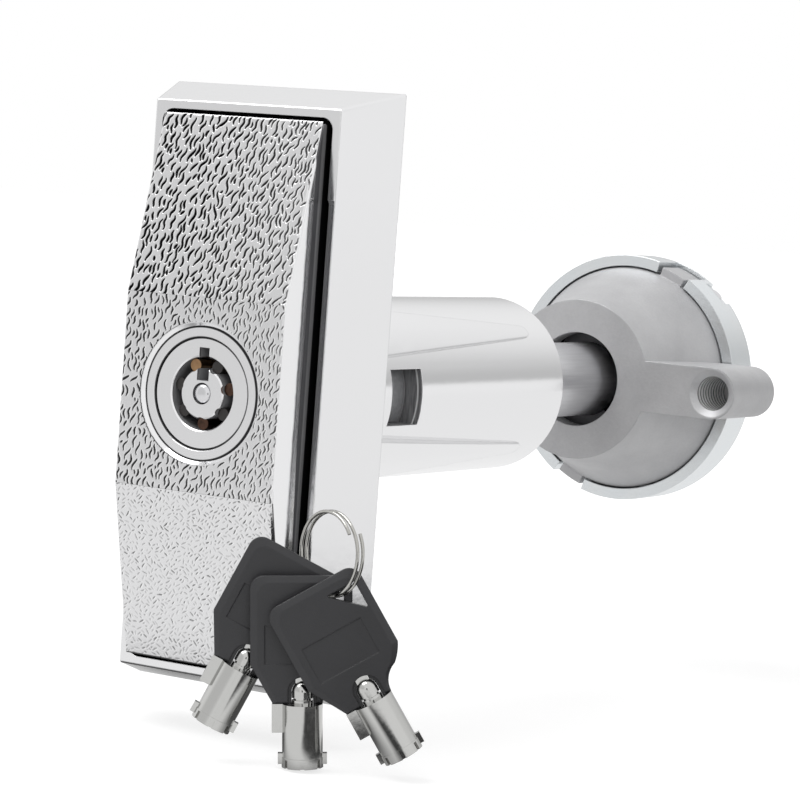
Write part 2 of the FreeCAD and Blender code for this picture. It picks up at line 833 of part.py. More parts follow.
def bow_outline(inset, y):
    """Closed wire of the bow's outline, drawn in by inset."""
    left = bow_left + inset
    right = bow_right - inset
    top = bow_top - inset
    foot = bow_bottom + inset * bow_foot_bevel_share
    shoulder = bow_top - bow_side_height
    radius = bow_corner_radius
    tube_right = tube_x + key_tube_radius - inset * bow_foot_bevel_share
    foot_left = bow_left + bow_foot_inset + inset * bow_flank_bevel_share
    bend = radius * (1 - math.cos(math.radians(45)))

    def corner(cx, cz, sx, sz):
        middle = V(cx + sx * (radius - bend), y, cz + sz * (radius - bend))
        return Part.Arc(V(cx + sx * radius, y, cz), middle, V(cx, y, cz + sz * radius)).toShape()

    top_right = corner(right - radius, top - radius, 1, 1)
    top_left = corner(left + radius, top - radius, -1, 1)
    hip_start = V(right, y, shoulder)
    hip_middle = V((right + tube_right) / 2 + hip_middle_out, y, (shoulder + foot) / 2 + hip_middle_rise)
    hip_end = V(tube_right, y, foot)
    swell_point = V(right - hip_swell_inset, y, shoulder - hip_swell_drop)
    hollow_point = V(tube_right + hip_hollow_out, y, foot + hip_hollow_rise)
    swell = Part.Arc(hip_start, swell_point, hip_middle).toShape()
    hollow = Part.Arc(hip_middle, hollow_point, hip_end).toShape()
    lines = [
        (V(right, y, top - radius), hip_start),
        (hip_end, V(foot_left, y, foot)),
        (V(foot_left, y, foot), V(left, y, shoulder)),
        (V(left, y, shoulder), V(left, y, top - radius)),
        (V(left + radius, y, top), V(right - radius, y, top)),
    ]
    edges = [Part.makeLine(*pair) for pair in lines]
    edges.extend([top_right, top_left, swell, hollow])
    return Part.Wire(Part.sortEdges(edges)[0])


def key_neck(gap):
    """Domed neck between tube and bow, grown all round by gap."""
    radius = neck_radius + gap
    dome = bow_bottom + neck_height - neck_radius
    neck = upright(radius, bow_bottom - press_gap, dome)
    return neck.fuse(Part.makeSphere(radius, V(tube_x, 0, dome)))


def make_key_bow():
    half = bow_thick / 2
    core = half - bow_bevel_drop
    bow = Part.Face(bow_outline(0, -core)).extrude(V(0, 2 * core, 0))
    for side in (-1, 1):
        skin = Part.makeLoft([bow_outline(0, side * core), bow_outline(bow_bevel, side * half)], True, True)
        bow = bow.fuse(skin)
    corner_x = bow_right - hole_side_inset
    corner_z = bow_top - hole_top_inset
    hole = polygon([
        V(corner_x, -bow_thick, corner_z), V(corner_x - hole_top_leg, -bow_thick, corner_z),
        V(corner_x, -bow_thick, corner_z - hole_side_leg),
    ]).extrude(V(0, 2 * bow_thick, 0))
    uprights = [e for e in hole.Edges if e.BoundBox.YLength > bow_thick]
    bow = bow.cut(hole.makeFillet(hole_corner_radius, uprights))
    notch_half = notch_width / 2
    notch_top = bow_bottom + notch_height - notch_half
    notch = block(tube_x - notch_half, tube_x + notch_half, -bow_thick, bow_thick, bow_bottom - 1, notch_top)
    notch = notch.fuse(cylinder(notch_half, -bow_thick, bow_thick, tube_x, notch_top))
    web = block(tube_x - notch_width, tube_x + notch_width, -notch_web / 2, notch_web / 2,
                bow_bottom, bow_bottom + 2 * notch_height)
    bow = bow.cut(notch.cut(web)).cut(key_neck(pin_gap))
    panel_left = bow_left + panel_inset
    panel_bottom = bow_top - bow_side_height
    for side in (-1, 1):
        sink = block(panel_left, panel_left + panel_right, side * half - panel_drop, side * half + panel_drop,
                     panel_bottom, bow_top - hole_top_inset - hole_side_leg - panel_top_gap)
        bow = bow.cut(sink)
    tang_base = bow_bottom + neck_height - tang_sink
    tang_half = tang_width / 2 + pin_gap
    slot_half = tang_thick / 2 + pin_gap
    slot = block(tube_x - tang_half, tube_x + tang_half, -slot_half, slot_half,
                 tang_base, bow_bottom + neck_height + tang_height + pin_gap)
    return bow.cut(slot).removeSplitter()


def upright(radius, low, high, x=None):
    return Part.makeCylinder(radius, high - low, V(tube_x if x is None else x, 0, low), V(0, 0, 1))


def make_key_blade():
    top = bow_bottom - press_gap
    tip = top - key_tube_length
    blade = upright(key_tube_radius, tip, top)
    blade = blade.fuse(upright(key_tube_radius + key_band_rise, tip, tip + key_band_height))
    wing_left = tube_x - key_tube_radius - wing_rise
    blade = blade.fuse(block(wing_left, tube_x, -wing_thick / 2, wing_thick / 2, top - wing_height, top))
    nib_low = tip + key_nib_low
    nib_reach = key_tube_radius + key_nib_rise
    blade = blade.fuse(block(tube_x - nib_reach, tube_x + nib_reach, -key_nib_width / 2, key_nib_width / 2,
                             nib_low, nib_low + key_nib_height))
    blade = blade.cut(upright(key_tube_bore, tip - 1, tip + key_tube_depth))
    for i in range(key_band_slots):
        angle = 360.0 / key_band_slots * (i + 0.5)
        slot = block(0, key_slot_width, key_tube_bore + key_slot_web, key_tube_radius + 1, tip - 1,
                     tip + key_band_height - key_slot_land)
        slot.translate(V(-key_slot_width / 2, 0, 0))
        slot.rotate(V(0, 0, 0), V(0, 0, 1), angle)
        slot.translate(V(tube_x, 0, 0))
        blade = blade.cut(slot)
    groove_low = top + neck_groove_height
    groove = upright(2 * neck_radius, groove_low, groove_low + neck_groove_width)
    groove = groove.cut(upright(neck_radius - neck_groove_depth, groove_low - 1, groove_low + 1))
    neck = key_neck(0).cut(groove)
    tang_half = tang_width / 2
    tang = block(tube_x - tang_half, tube_x + tang_half, -tang_thick / 2, tang_thick / 2,
                 top + neck_height / 2, top + neck_height + tang_height)
    return blade.fuse(neck).fuse(tang).removeSplitter()


def make_pins():
    for i, angle in enumerate(pin_angles):
        spot = round_position(pin_circle_radius, angle)
        number = str(i + 1)
        shear = -shear_plane
        save("key_pin_" + number, cylinder(pin_radius, -pin_front, shear, spot.x, spot.z))
        driver_front = shear + lift_gap
        driver_back = driver_front + driver_length
        save("driver_pin_" + number, cylinder(pin_radius, driver_front, driver_back, spot.x, spot.z))
        bore_end = driver_front + spring_bore_depth
        coil = cylinder(pin_spring_radius, driver_back + press_gap, bore_end - press_gap, spot.x, spot.z)
        bore = cylinder(pin_spring_radius - pin_spring_wall, driver_back - 1, bore_end + 1, spot.x, spot.z)
        save("pin_spring_" + number, coil.cut(bore))


os.makedirs("parts", exist_ok=True)
save("housing", make_housing())
save("rear_bush", make_rear_bush())
save("rear_snap_ring", make_rear_snap_ring())
save("drive_shaft", make_drive_shaft())
save("thrust_washer", make_thrust_washer())
save("pop_spring", make_pop_spring())
save("handle", make_handle())
save("lock_shell", make_lock_shell())
save("lock_face", make_lock_face())
save("pin_barrel", make_pin_barrel())
save("shell_pin", make_shell_pin())
save("rotor", make_rotor())
save("post_pin", make_post_pin())
save("rotor_clip", make_rotor_clip())
save("cam", make_cam())
save("lock_bolt", make_lock_bolt())
save("bolt_spring", make_bolt_spring())
make_pins()
save("receiver_body", make_receiver_body())
save("receiver_cup", make_receiver_cup())
save("cup_pin", make_cup_pin())
save("jaw_retainer", make_jaw_retainer())
for i, jaw in enumerate(make_jaws()):
    save("nut_jaw_" + str(i + 1), jaw)
save("jaw_spring_ring", make_jaw_spring_ring())
save("key_ring", wound_tube(ring_helix(), ring_turns, ring_wire, "key_ring"))
for i in range(len(key_angles)):
    number = str(i + 1)
    save("key_bow_" + number, seat_key(make_key_bow(), i))
    save("key_blade_" + number, seat_key(make_key_blade(), i))
for name, shape in made.items():
    if not shape.isValid() or len(shape.Solids) != 1:
        print("check", name, shape.isValid(), len(shape.Solids))
print(len(made), "pieces")
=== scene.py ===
"""Looks of the vending machine lock: its finishes, the cast leather grain of the handle and the
small details that stay out of the solids. Metres, in the frame of the solids.
"""
import math
import random

import bpy
import numpy as np
from mathutils import Matrix, Vector


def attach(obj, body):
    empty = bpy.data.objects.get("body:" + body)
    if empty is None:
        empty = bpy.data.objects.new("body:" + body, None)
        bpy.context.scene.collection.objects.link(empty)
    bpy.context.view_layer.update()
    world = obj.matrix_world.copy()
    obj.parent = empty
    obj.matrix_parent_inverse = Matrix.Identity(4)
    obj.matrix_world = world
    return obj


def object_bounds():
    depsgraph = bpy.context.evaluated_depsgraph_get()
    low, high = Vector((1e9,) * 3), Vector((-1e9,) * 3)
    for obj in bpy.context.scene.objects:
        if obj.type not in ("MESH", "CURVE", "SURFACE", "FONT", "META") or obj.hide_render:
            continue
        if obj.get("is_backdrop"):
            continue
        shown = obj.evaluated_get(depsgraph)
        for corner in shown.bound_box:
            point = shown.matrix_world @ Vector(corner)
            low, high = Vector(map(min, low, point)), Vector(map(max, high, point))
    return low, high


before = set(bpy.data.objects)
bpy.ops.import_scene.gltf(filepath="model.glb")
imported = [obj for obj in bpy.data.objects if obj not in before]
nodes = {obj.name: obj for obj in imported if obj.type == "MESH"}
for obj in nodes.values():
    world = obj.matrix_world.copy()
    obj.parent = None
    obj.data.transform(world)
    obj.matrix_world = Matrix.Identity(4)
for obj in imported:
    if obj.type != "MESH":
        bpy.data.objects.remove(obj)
cad_low, cad_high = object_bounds()
scene = bpy.context.scene
bpy.ops.object.select_all(action="DESELECT")


# Camera. A long lens at the height of the lock, a little above and to the right of its front,
# rolled by four degrees.
camera_azimuth = math.radians(31.3466)
camera_elevation = math.radians(4.1749)
camera_roll = math.radians(4.1503)
camera_distance, camera_right, camera_up = 0.458953, 0.0192044, -0.0013228
focal_px, picture_px, sensor_mm = 3136.55, 800, 36
back = Vector((math.sin(camera_azimuth) * math.cos(camera_elevation),
               -math.cos(camera_azimuth) * math.cos(camera_elevation),
               math.sin(camera_elevation)))
level = Vector((math.cos(camera_azimuth), math.sin(camera_azimuth), 0))
upright = back.cross(level)
right = level * math.cos(camera_roll) + upright * math.sin(camera_roll)
up = upright * math.cos(camera_roll) - level * math.sin(camera_roll)
spot = right * camera_right + up * camera_up + back * camera_distance
lens = bpy.data.cameras.new("long_lens")
lens.sensor_width = sensor_mm
lens.lens = focal_px / picture_px * sensor_mm
lens.clip_start, lens.clip_end = 0.01, 20
camera = bpy.data.objects.new("long_lens", lens)
camera.matrix_world = Matrix((
    (right.x, up.x, back.x, spot.x), (right.y, up.y, back.y, spot.y),
    (right.z, up.z, back.z, spot.z), (0, 0, 0, 1)))
scene.collection.objects.link(camera)
scene.camera = camera
scene.view_settings.view_transform = "Standard"


# Studio. A pale floor just under the keys, a white tent all round it and two soft lamps from above.
# The tent is dimmer at the left front and low at the back, which gives the plated faces their greys.
def linear(code):
    """Linear colour of an sRGB hex code."""
    parts = [int(code[i:i + 2], 16) / 255 for i in (1, 3, 5)]
    return [p / 12.92 if p <= 0.04045 else ((p + 0.055) / 1.055) ** 2.4 for p in parts] + [1.0]


def add_node(tree, kind, settings, links):
    """One node; settings are properties or input values, links join sockets, or a node's first
    output, to inputs."""
    node = tree.nodes.new(kind)
    for name, value in settings.items():
        if isinstance(name, str) and name not in node.inputs:
            setattr(node, name, value)
        else:
            node.inputs[name].default_value = value
    for name, source in links.items():
        if isinstance(source, bpy.types.Node):
            source = source.outputs[0]
        tree.links.new(source, node.inputs[name])
    return node


def new_material(name):
    """A material with an empty tree, and the tree."""
    material = bpy.data.materials.new(name)
    material.use_nodes = True
    material.node_tree.nodes.clear()
    return material, material.node_tree


floor_size, floor_drop = 8, 0.0003
left_front = (-0.52, -0.85, 0.0)
keys_foot, right_of_keys = (0.008, -0.024, 0.0), (0.995, 0.105, 0.0)
bpy.ops.mesh.primitive_plane_add(size=floor_size, location=(0, 0, cad_low.z - floor_drop))
floor = bpy.context.object
floor.name = "floor"
paper, tree = new_material("white_paper_sweep")
ray = add_node(tree, "ShaderNodeLightPath", {}, {})
place = add_node(tree, "ShaderNodeTexCoord", {}, {}).outputs["Object"]
shade = add_node(tree, "ShaderNodeBsdfDiffuse", {"Color": linear("#C4C4C4")}, {})
away = add_node(tree, "ShaderNodeVectorMath", {"operation": "LENGTH"}, {0: place}).outputs["Value"]
bright = add_node(tree, "ShaderNodeMapRange", {
    "interpolation_type": "SMOOTHSTEP", "From Min": 0.16, "From Max": 0.60,
    "To Min": 0.76, "To Max": 1.0}, {"Value": away})
glow = add_node(tree, "ShaderNodeEmission", {"Color": linear("#FFFFFF")}, {"Strength": bright})
soft = add_node(tree, "ShaderNodeBsdfDiffuse", {"Color": linear("#A6A6A6")}, {})
shadowed = add_node(tree, "ShaderNodeAddShader", {}, {0: glow, 1: soft})
# in reflections the paper is dark in a sector to the right of the keys, 36 to 150 mm from them
from_keys = add_node(tree, "ShaderNodeVectorMath", {"operation": "SUBTRACT", 1: keys_foot}, {0: place})
bearing = add_node(tree, "ShaderNodeVectorMath", {"operation": "NORMALIZE"}, {0: from_keys})
rightward = add_node(tree, "ShaderNodeVectorMath", {"operation": "DOT_PRODUCT", 1: right_of_keys},
                     {0: bearing}).outputs["Value"]
unlit = add_node(tree, "ShaderNodeMapRange", {
    "interpolation_type": "SMOOTHSTEP", "From Min": 0.74, "From Max": 0.81,
    "To Min": 0.0, "To Max": 0.90}, {"Value": rightward})
reach = add_node(tree, "ShaderNodeVectorMath", {"operation": "LENGTH"}, {0: from_keys}).outputs["Value"]
near = add_node(tree, "ShaderNodeMapRange", {
    "interpolation_type": "SMOOTHSTEP", "From Min": 0.20, "From Max": 0.15}, {"Value": reach})
clear = add_node(tree, "ShaderNodeMapRange", {
    "interpolation_type": "SMOOTHSTEP", "From Min": 0.024, "From Max": 0.036}, {"Value": reach})
near = add_node(tree, "ShaderNodeMath", {"operation": "MULTIPLY"}, {0: near, 1: clear})
unlit = add_node(tree, "ShaderNodeMath", {"operation": "MULTIPLY"}, {0: unlit, 1: near})
# a painted shadow of the lock darkens it under the bezel too, round a line 4 mm in front of the back
# plane
parts = add_node(tree, "ShaderNodeSeparateXYZ", {}, {0: place})
across = add_node(tree, "ShaderNodeMath", {"operation": "ABSOLUTE"}, {0: parts.outputs["X"]})
under_x = add_node(tree, "ShaderNodeMapRange", {
    "interpolation_type": "SMOOTHSTEP", "From Min": 0.045, "From Max": 0.022}, {"Value": across})
along = add_node(tree, "ShaderNodeMath", {"operation": "ADD", 1: 0.004}, {0: parts.outputs["Y"]})
along = add_node(tree, "ShaderNodeMath", {"operation": "ABSOLUTE"}, {0: along})
under_y = add_node(tree, "ShaderNodeMapRange", {
    "interpolation_type": "SMOOTHSTEP", "From Min": 0.028, "From Max": 0.012,
    "To Min": 0.0, "To Max": 0.86}, {"Value": along})
under = add_node(tree, "ShaderNodeMath", {"operation": "MULTIPLY"}, {0: under_x, 1: under_y})
unlit = add_node(tree, "ShaderNodeMath", {"operation": "MAXIMUM"}, {0: unlit, 1: under})
# and it falls off by a fifth towards the left front
heading = add_node(tree, "ShaderNodeVectorMath", {"operation": "NORMALIZE"}, {0: place})
forward = add_node(tree, "ShaderNodeVectorMath", {"operation": "DOT_PRODUCT", 1: left_front},
                   {0: heading}).outputs["Value"]
falloff = add_node(tree, "ShaderNodeMapRange", {
    "interpolation_type": "SMOOTHSTEP", "From Min": 0.04, "From Max": 0.5,
    "To Min": 0.0, "To Max": 0.20}, {"Value": away})
sector = add_node(tree, "ShaderNodeMapRange", {
    "interpolation_type": "SMOOTHSTEP", "From Min": 0.70, "From Max": 0.95}, {"Value": forward})
loss = add_node(tree, "ShaderNodeMath", {"operation": "MULTIPLY"}, {0: falloff, 1: sector})
left = add_node(tree, "ShaderNodeMath", {"operation": "SUBTRACT", 0: 0.96}, {1: loss})
left = add_node(tree, "ShaderNodeMath", {"operation": "SUBTRACT", "use_clamp": True},
                {0: left, 1: unlit})
reflected = add_node(tree, "ShaderNodeEmission", {"Color": linear("#FFFFFF")}, {"Strength": left})
# the lens sees it glow, with the object's shadow on it; the light it sends back is plain grey
seen = add_node(tree, "ShaderNodeMath", {"operation": "MAXIMUM"},
                {0: ray.outputs["Is Glossy Ray"], 1: ray.outputs["Is Transmission Ray"]})
lit = add_node(tree, "ShaderNodeMixShader", {},
               {"Fac": ray.outputs["Is Camera Ray"], 1: shade, 2: shadowed})
both = add_node(tree, "ShaderNodeMixShader", {}, {"Fac": seen, 1: lit, 2: reflected})
add_node(tree, "ShaderNodeOutputMaterial", {}, {"Surface": both})
floor.data.materials.append(paper)
floor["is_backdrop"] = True

world = bpy.data.worlds.new("white_tent")
world.use_nodes = True
tree = world.node_tree
tree.nodes.clear()
ray = add_node(tree, "ShaderNodeLightPath", {}, {})
toward = add_node(tree, "ShaderNodeTexCoord", {}, {}).outputs["Generated"]
parts = add_node(tree, "ShaderNodeSeparateXYZ", {}, {0: toward})
forward = add_node(tree, "ShaderNodeVectorMath", {"operation": "DOT_PRODUCT", 1: left_front},
                   {0: toward}).outputs["Value"]
front = add_node(tree, "ShaderNodeMapRange", {
    "interpolation_type": "SMOOTHSTEP", "From Min": 0.70, "From Max": 0.92,
    "To Min": 1.0, "To Max": 0.76}, {"Value": forward})
rise = add_node(tree, "ShaderNodeMapRange", {
    "interpolation_type": "SMOOTHSTEP", "From Min": 0.10, "From Max": 0.56,
    "To Min": 0.42, "To Max": 0.0}, {"Value": parts.outputs["Z"]})
edge = add_node(tree, "ShaderNodeMapRange", {"From Min": 0.055, "From Max": 0.085},
                {"Value": parts.outputs["Z"]})
rise = add_node(tree, "ShaderNodeMath", {"operation": "MULTIPLY"}, {0: rise, 1: edge})
behind = add_node(tree, "ShaderNodeMapRange", {
    "interpolation_type": "SMOOTHSTEP", "From Min": 0.1, "From Max": 0.5},
    {"Value": parts.outputs["Y"]})
low = add_node(tree, "ShaderNodeMath", {"operation": "MULTIPLY"}, {0: rise, 1: behind})
side = add_node(tree, "ShaderNodeMath", {"operation": "SUBTRACT"}, {0: front, 1: low})
# reflections see its greys, the lens sees plain white, and as a light it is half as strong
seen = add_node(tree, "ShaderNodeMath", {"operation": "MAXIMUM"},
                {0: ray.outputs["Is Camera Ray"], 1: ray.outputs["Is Transmission Ray"]})
plain = add_node(tree, "ShaderNodeMix", {"data_type": "FLOAT", "A": 0.50},
                 {"Factor": ray.outputs["Is Glossy Ray"], "B": side})
level_of_light = add_node(tree, "ShaderNodeMix", {"data_type": "FLOAT", "B": 1.0},
                          {"Factor": seen, "A": plain})
tent = add_node(tree, "ShaderNodeBackground", {"Color": linear("#FFFFFF")},
                {"Strength": level_of_light})
add_node(tree, "ShaderNodeOutputWorld", {}, {"Surface": tent})
scene.world = world

aim = Vector((0, 0.03, 0))
for name, power, spot, shines in (("key_lamp", 11.0, (-0.55, -0.45, 1.25), True),
                                  ("fill_lamp", 3.0, (0.9, -0.9, 0.7), False)):
    lamp = bpy.data.lights.new(name, "AREA")
    lamp.energy = power
    lamp.size = 1.0
    holder = bpy.data.objects.new(name, lamp)
    holder.location = spot
    holder.rotation_euler = (aim - Vector(spot)).to_track_quat("-Z", "Y").to_euler()
    holder.visible_glossy = shines
    scene.collection.objects.link(holder)

# a dark card at the height of the keys, towards the lens, seen in reflections only
card_width, card_height, card_away, card_rise = 0.076, 0.10, 0.36, 0.05
keys_x, keys_y = 0.008, -0.010
velvet, tree = new_material("black_velvet_card")
dim = add_node(tree, "ShaderNodeEmission", {"Color": linear("#3A3A3C"), "Strength": 1.0}, {})
add_node(tree, "ShaderNodeOutputMaterial", {}, {"Surface": dim})
spot = (keys_x + math.sin(camera_azimuth) * card_away,
        keys_y - math.cos(camera_azimuth) * card_away, cad_low.z + card_rise)
bpy.ops.mesh.primitive_plane_add(size=1, location=spot,
                                 rotation=(math.radians(90), 0, camera_azimuth))
card = bpy.context.object
card.name = "card_at_camera"
card.scale = (card_width, card_height, 1)
card.data.materials.append(velvet)
for kind in ("camera", "diffuse", "transmission", "volume_scatter", "shadow"):
    setattr(card, "visible_" + kind, False)
card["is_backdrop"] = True
card.select_set(False)


# Housing. Bezel and barrel are one zinc die casting, polished and plated with bright chrome, and two
# screws from behind hold it on the door. The chrome is a mirror; in the recess and the bore it is
# rougher, and their shade is painted dark into its colour.
def dress(names, material):
    """Give the material to the named solids."""
    for name in names:
        slots = nodes[name].material_slots
        for slot in slots:
            slot.material = material
        if not slots:
            nodes[name].data.materials.append(material)


mm = 0.001
peel_width = 1.613 * mm
bezel_edge = 0.18 * mm
recess_half_width, recess_half_height = 14.75 * mm, 40.15 * mm
recess_dark_from, recess_dark_to, recess_back = -10.4 * mm, -9.8 * mm, -2.1 * mm
bore_radius, barrel_wall_radius = 11.8 * mm, 13.8 * mm
window_middle, window_half = 16.1 * mm, 4.6 * mm
window_highlight_radius = 13.15 * mm
ripple_width, ripple_length = 0.3125 * mm, 2.857 * mm
chrome, tree = new_material("bright_chrome_on_zinc_die_casting")
place = add_node(tree, "ShaderNodeTexCoord", {}, {}).outputs["Object"]
parts = add_node(tree, "ShaderNodeSeparateXYZ", {}, {0: place})
# orange peel of the polished casting, and edges rounded by the polishing
peel = add_node(tree, "ShaderNodeTexNoise", {"Scale": 1 / peel_width, "Detail": 2.0}, {"Vector": place})
edge = add_node(tree, "ShaderNodeBevel", {"samples": 4, "Radius": bezel_edge}, {})
relief = add_node(tree, "ShaderNodeBump", {"Strength": 0.06, "Distance": 0.2 * mm},
                  {"Height": peel, "Normal": edge})
# 0 on the outside, 1 from 2 mm inside the recess
across = add_node(tree, "ShaderNodeMath", {"operation": "ABSOLUTE"}, {0: parts.outputs["X"]})
along = add_node(tree, "ShaderNodeMath", {"operation": "ABSOLUTE"}, {0: parts.outputs["Z"]})
in_width = add_node(tree, "ShaderNodeMath", {"operation": "LESS_THAN", 1: recess_half_width},
                    {0: across})
in_height = add_node(tree, "ShaderNodeMath", {"operation": "LESS_THAN", 1: recess_half_height},
                     {0: along})
in_depth = add_node(tree, "ShaderNodeMapRange", {
    "From Min": recess_dark_from, "From Max": recess_dark_to}, {"Value": parts.outputs["Y"]})
in_front = add_node(tree, "ShaderNodeMath", {"operation": "LESS_THAN", 1: recess_back},
                    {0: parts.outputs["Y"]})
in_recess = add_node(tree, "ShaderNodeMath", {"operation": "MULTIPLY"}, {0: in_width, 1: in_height})
in_recess = add_node(tree, "ShaderNodeMath", {"operation": "MULTIPLY"}, {0: in_recess, 1: in_depth})
in_recess = add_node(tree, "ShaderNodeMath", {"operation": "MULTIPLY"}, {0: in_recess, 1: in_front})
# 1 in the bore, and beside the window through the whole wall of the barrel
flat = add_node(tree, "ShaderNodeCombineXYZ", {}, {"X": parts.outputs["X"], "Y": parts.outputs["Z"]})
radius = add_node(tree, "ShaderNodeVectorMath", {"operation": "LENGTH"}, {0: flat}).outputs["Value"]
past = add_node(tree, "ShaderNodeMath", {"operation": "SUBTRACT", 1: window_middle},
                {0: parts.outputs["Y"]})
past = add_node(tree, "ShaderNodeMath", {"operation": "ABSOLUTE"}, {0: past})
limit = add_node(tree, "ShaderNodeMapRange", {
    "From Min": window_half, "From Max": window_half + 0.1 * mm,
    "To Min": barrel_wall_radius, "To Max": bore_radius}, {"Value": past})
inner = add_node(tree, "ShaderNodeMath", {"operation": "SUBTRACT"}, {0: limit, 1: radius})
in_bore = add_node(tree, "ShaderNodeMapRange", {"From Min": 0.0, "From Max": 0.1 * mm},
                   {"Value": inner})
inside = add_node(tree, "ShaderNodeMath", {"operation": "MAXIMUM", "use_clamp": True},
                  {0: in_recess, 1: in_bore})
# the window's walls keep the ripples of the slide that cored it; a painted highlight runs on a line 0.7
# mm in
ripple = add_node(tree, "ShaderNodeMapping", {
    "Scale": (1 / ripple_width, 1 / ripple_width, 1 / ripple_length)}, {"Vector": place})
ripple = add_node(tree, "ShaderNodeTexNoise", {"Scale": 1.0, "Detail": 3.0}, {"Vector": ripple})
walls = add_node(tree, "ShaderNodeMix", {
    "data_type": "RGBA", "A": linear("#2A2A2C"), "B": linear("#B8B8BA")}, {"Factor": ripple})
off = add_node(tree, "ShaderNodeMath", {"operation": "SUBTRACT", 1: window_highlight_radius}, {0: radius})
off = add_node(tree, "ShaderNodeMath", {"operation": "ABSOLUTE"}, {0: off})
# the painted highlight on the window's walls
line = add_node(tree, "ShaderNodeMapRange", {"From Min": 0.18 * mm, "From Max": 0.08 * mm},
                {"Value": off})
walls = add_node(tree, "ShaderNodeMix", {"data_type": "RGBA", "B": linear("#F4F4F4")},
                 {"Factor": line, "A": walls.outputs["Result"]})
# painted shade: the recess is painted almost black, and the bore takes the walls' colour
inner_colour_with_painted_shade = add_node(tree, "ShaderNodeMix", {"data_type": "RGBA", "A": linear("#1C1C1E")},
                {"Factor": in_bore, "B": walls.outputs["Result"]})
colour = add_node(tree, "ShaderNodeMix", {"data_type": "RGBA", "A": linear("#E9E9EA")},
                  {"Factor": inside, "B": inner_colour_with_painted_shade.outputs["Result"]})
gloss = add_node(tree, "ShaderNodeMapRange", {"To Min": 0.14, "To Max": 0.42}, {"Value": inside})
metal = add_node(tree, "ShaderNodeMapRange", {"To Min": 1.0, "To Max": 0.25}, {"Value": in_bore})
shader = add_node(tree, "ShaderNodeBsdfPrincipled", {}, {
    "Base Color": colour.outputs["Result"], "Metallic": metal, "Roughness": gloss, "Normal": relief})
add_node(tree, "ShaderNodeOutputMaterial", {}, {"Surface": shader})
dress(["housing"], chrome)


# Handle. Zinc die casting, plated as the bezel is, whose stem slides in the barrel. Its flanks are
# rougher where they enter the recess, with shade painted on them in grey streaks, and painted black
# below the bezel's rim; the stem is turned bare.
mark_width, mark_length = 0.2778 * mm, 16.67 * mm
shade_start_y, pale_y, black_y, stem_y = -12.62 * mm, -11.50 * mm, -10.58 * mm, -2.1 * mm
flank_chrome, tree = new_material("bright_chrome_on_cast_handle")
place = add_node(tree, "ShaderNodeTexCoord", {}, {}).outputs["Object"]
parts = add_node(tree, "ShaderNodeSeparateXYZ", {}, {0: place})
peel = add_node(tree, "ShaderNodeTexNoise", {"Scale": 1 / peel_width, "Detail": 2.0}, {"Vector": place})
relief = add_node(tree, "ShaderNodeBump", {"Strength": 0.05, "Distance": 0.2 * mm}, {"Height": peel})
drawn = add_node(tree, "ShaderNodeMapping", {"Scale": (0.0, 1 / mark_width, 1 / mark_length)},
                 {"Vector": place})
streaks = add_node(tree, "ShaderNodeTexNoise", {"Scale": 1.0, "Detail": 2.0}, {"Vector": drawn})
# low on the handle the painted shade starts up to 1.1 mm farther back
low = add_node(tree, "ShaderNodeMapRange", {
    "From Min": -5 * mm, "From Max": -30 * mm, "To Min": 0.0, "To Max": -1.1 * mm},
    {"Value": parts.outputs["Z"]})
start = add_node(tree, "ShaderNodeMath", {"operation": "ADD"}, {0: parts.outputs["Y"], 1: low})
painted_light = add_node(tree, "ShaderNodeMapRange", {
    "From Min": shade_start_y, "From Max": shade_start_y + 0.1 * mm}, {"Value": start})
pale = add_node(tree, "ShaderNodeMapRange", {
    "From Min": pale_y, "From Max": pale_y + 0.2 * mm}, {"Value": parts.outputs["Y"]})
deep = add_node(tree, "ShaderNodeMapRange", {
    "From Min": black_y, "From Max": black_y + 0.16 * mm}, {"Value": parts.outputs["Y"]})
# painted shade on the flanks: grey streaks where they enter the recess
band = add_node(tree, "ShaderNodeMix", {
    "data_type": "RGBA", "A": linear("#46464A"), "B": linear("#BCBCBE")}, {"Factor": pale})
band = add_node(tree, "ShaderNodeMix", {"data_type": "RGBA", "B": linear("#6E6E70")},
                {"Factor": streaks, "A": band.outputs["Result"]})
stem = add_node(tree, "ShaderNodeMath", {"operation": "GREATER_THAN", 1: stem_y},
                {0: parts.outputs["Y"]})
# the flank below the bezel's rim is painted black as its shade; the stem keeps its bare metal
inner_colour_with_painted_shade = add_node(tree, "ShaderNodeMix", {
    "data_type": "RGBA", "A": linear("#18181A"), "B": linear("#B4B4B6")}, {"Factor": stem})
colour = add_node(tree, "ShaderNodeMix", {"data_type": "RGBA", "A": linear("#EDEDEE")},
                  {"Factor": painted_light, "B": band.outputs["Result"]})
colour = add_node(tree, "ShaderNodeMix", {"data_type": "RGBA"},
                  {"Factor": deep, "A": colour.outputs["Result"], "B": inner_colour_with_painted_shade.outputs["Result"]})
gloss = add_node(tree, "ShaderNodeMapRange", {"To Min": 0.09, "To Max": 0.36}, {"Value": painted_light})
metal = add_node(tree, "ShaderNodeMapRange", {"To Min": 1.0, "To Max": 0.45}, {"Value": painted_light})
shader = add_node(tree, "ShaderNodeBsdfPrincipled", {}, {
    "Base Color": colour.outputs["Result"], "Metallic": metal, "Roughness": gloss, "Normal": relief})
add_node(tree, "ShaderNodeOutputMaterial", {}, {"Surface": shader})
dress(["handle"], flank_chrome)
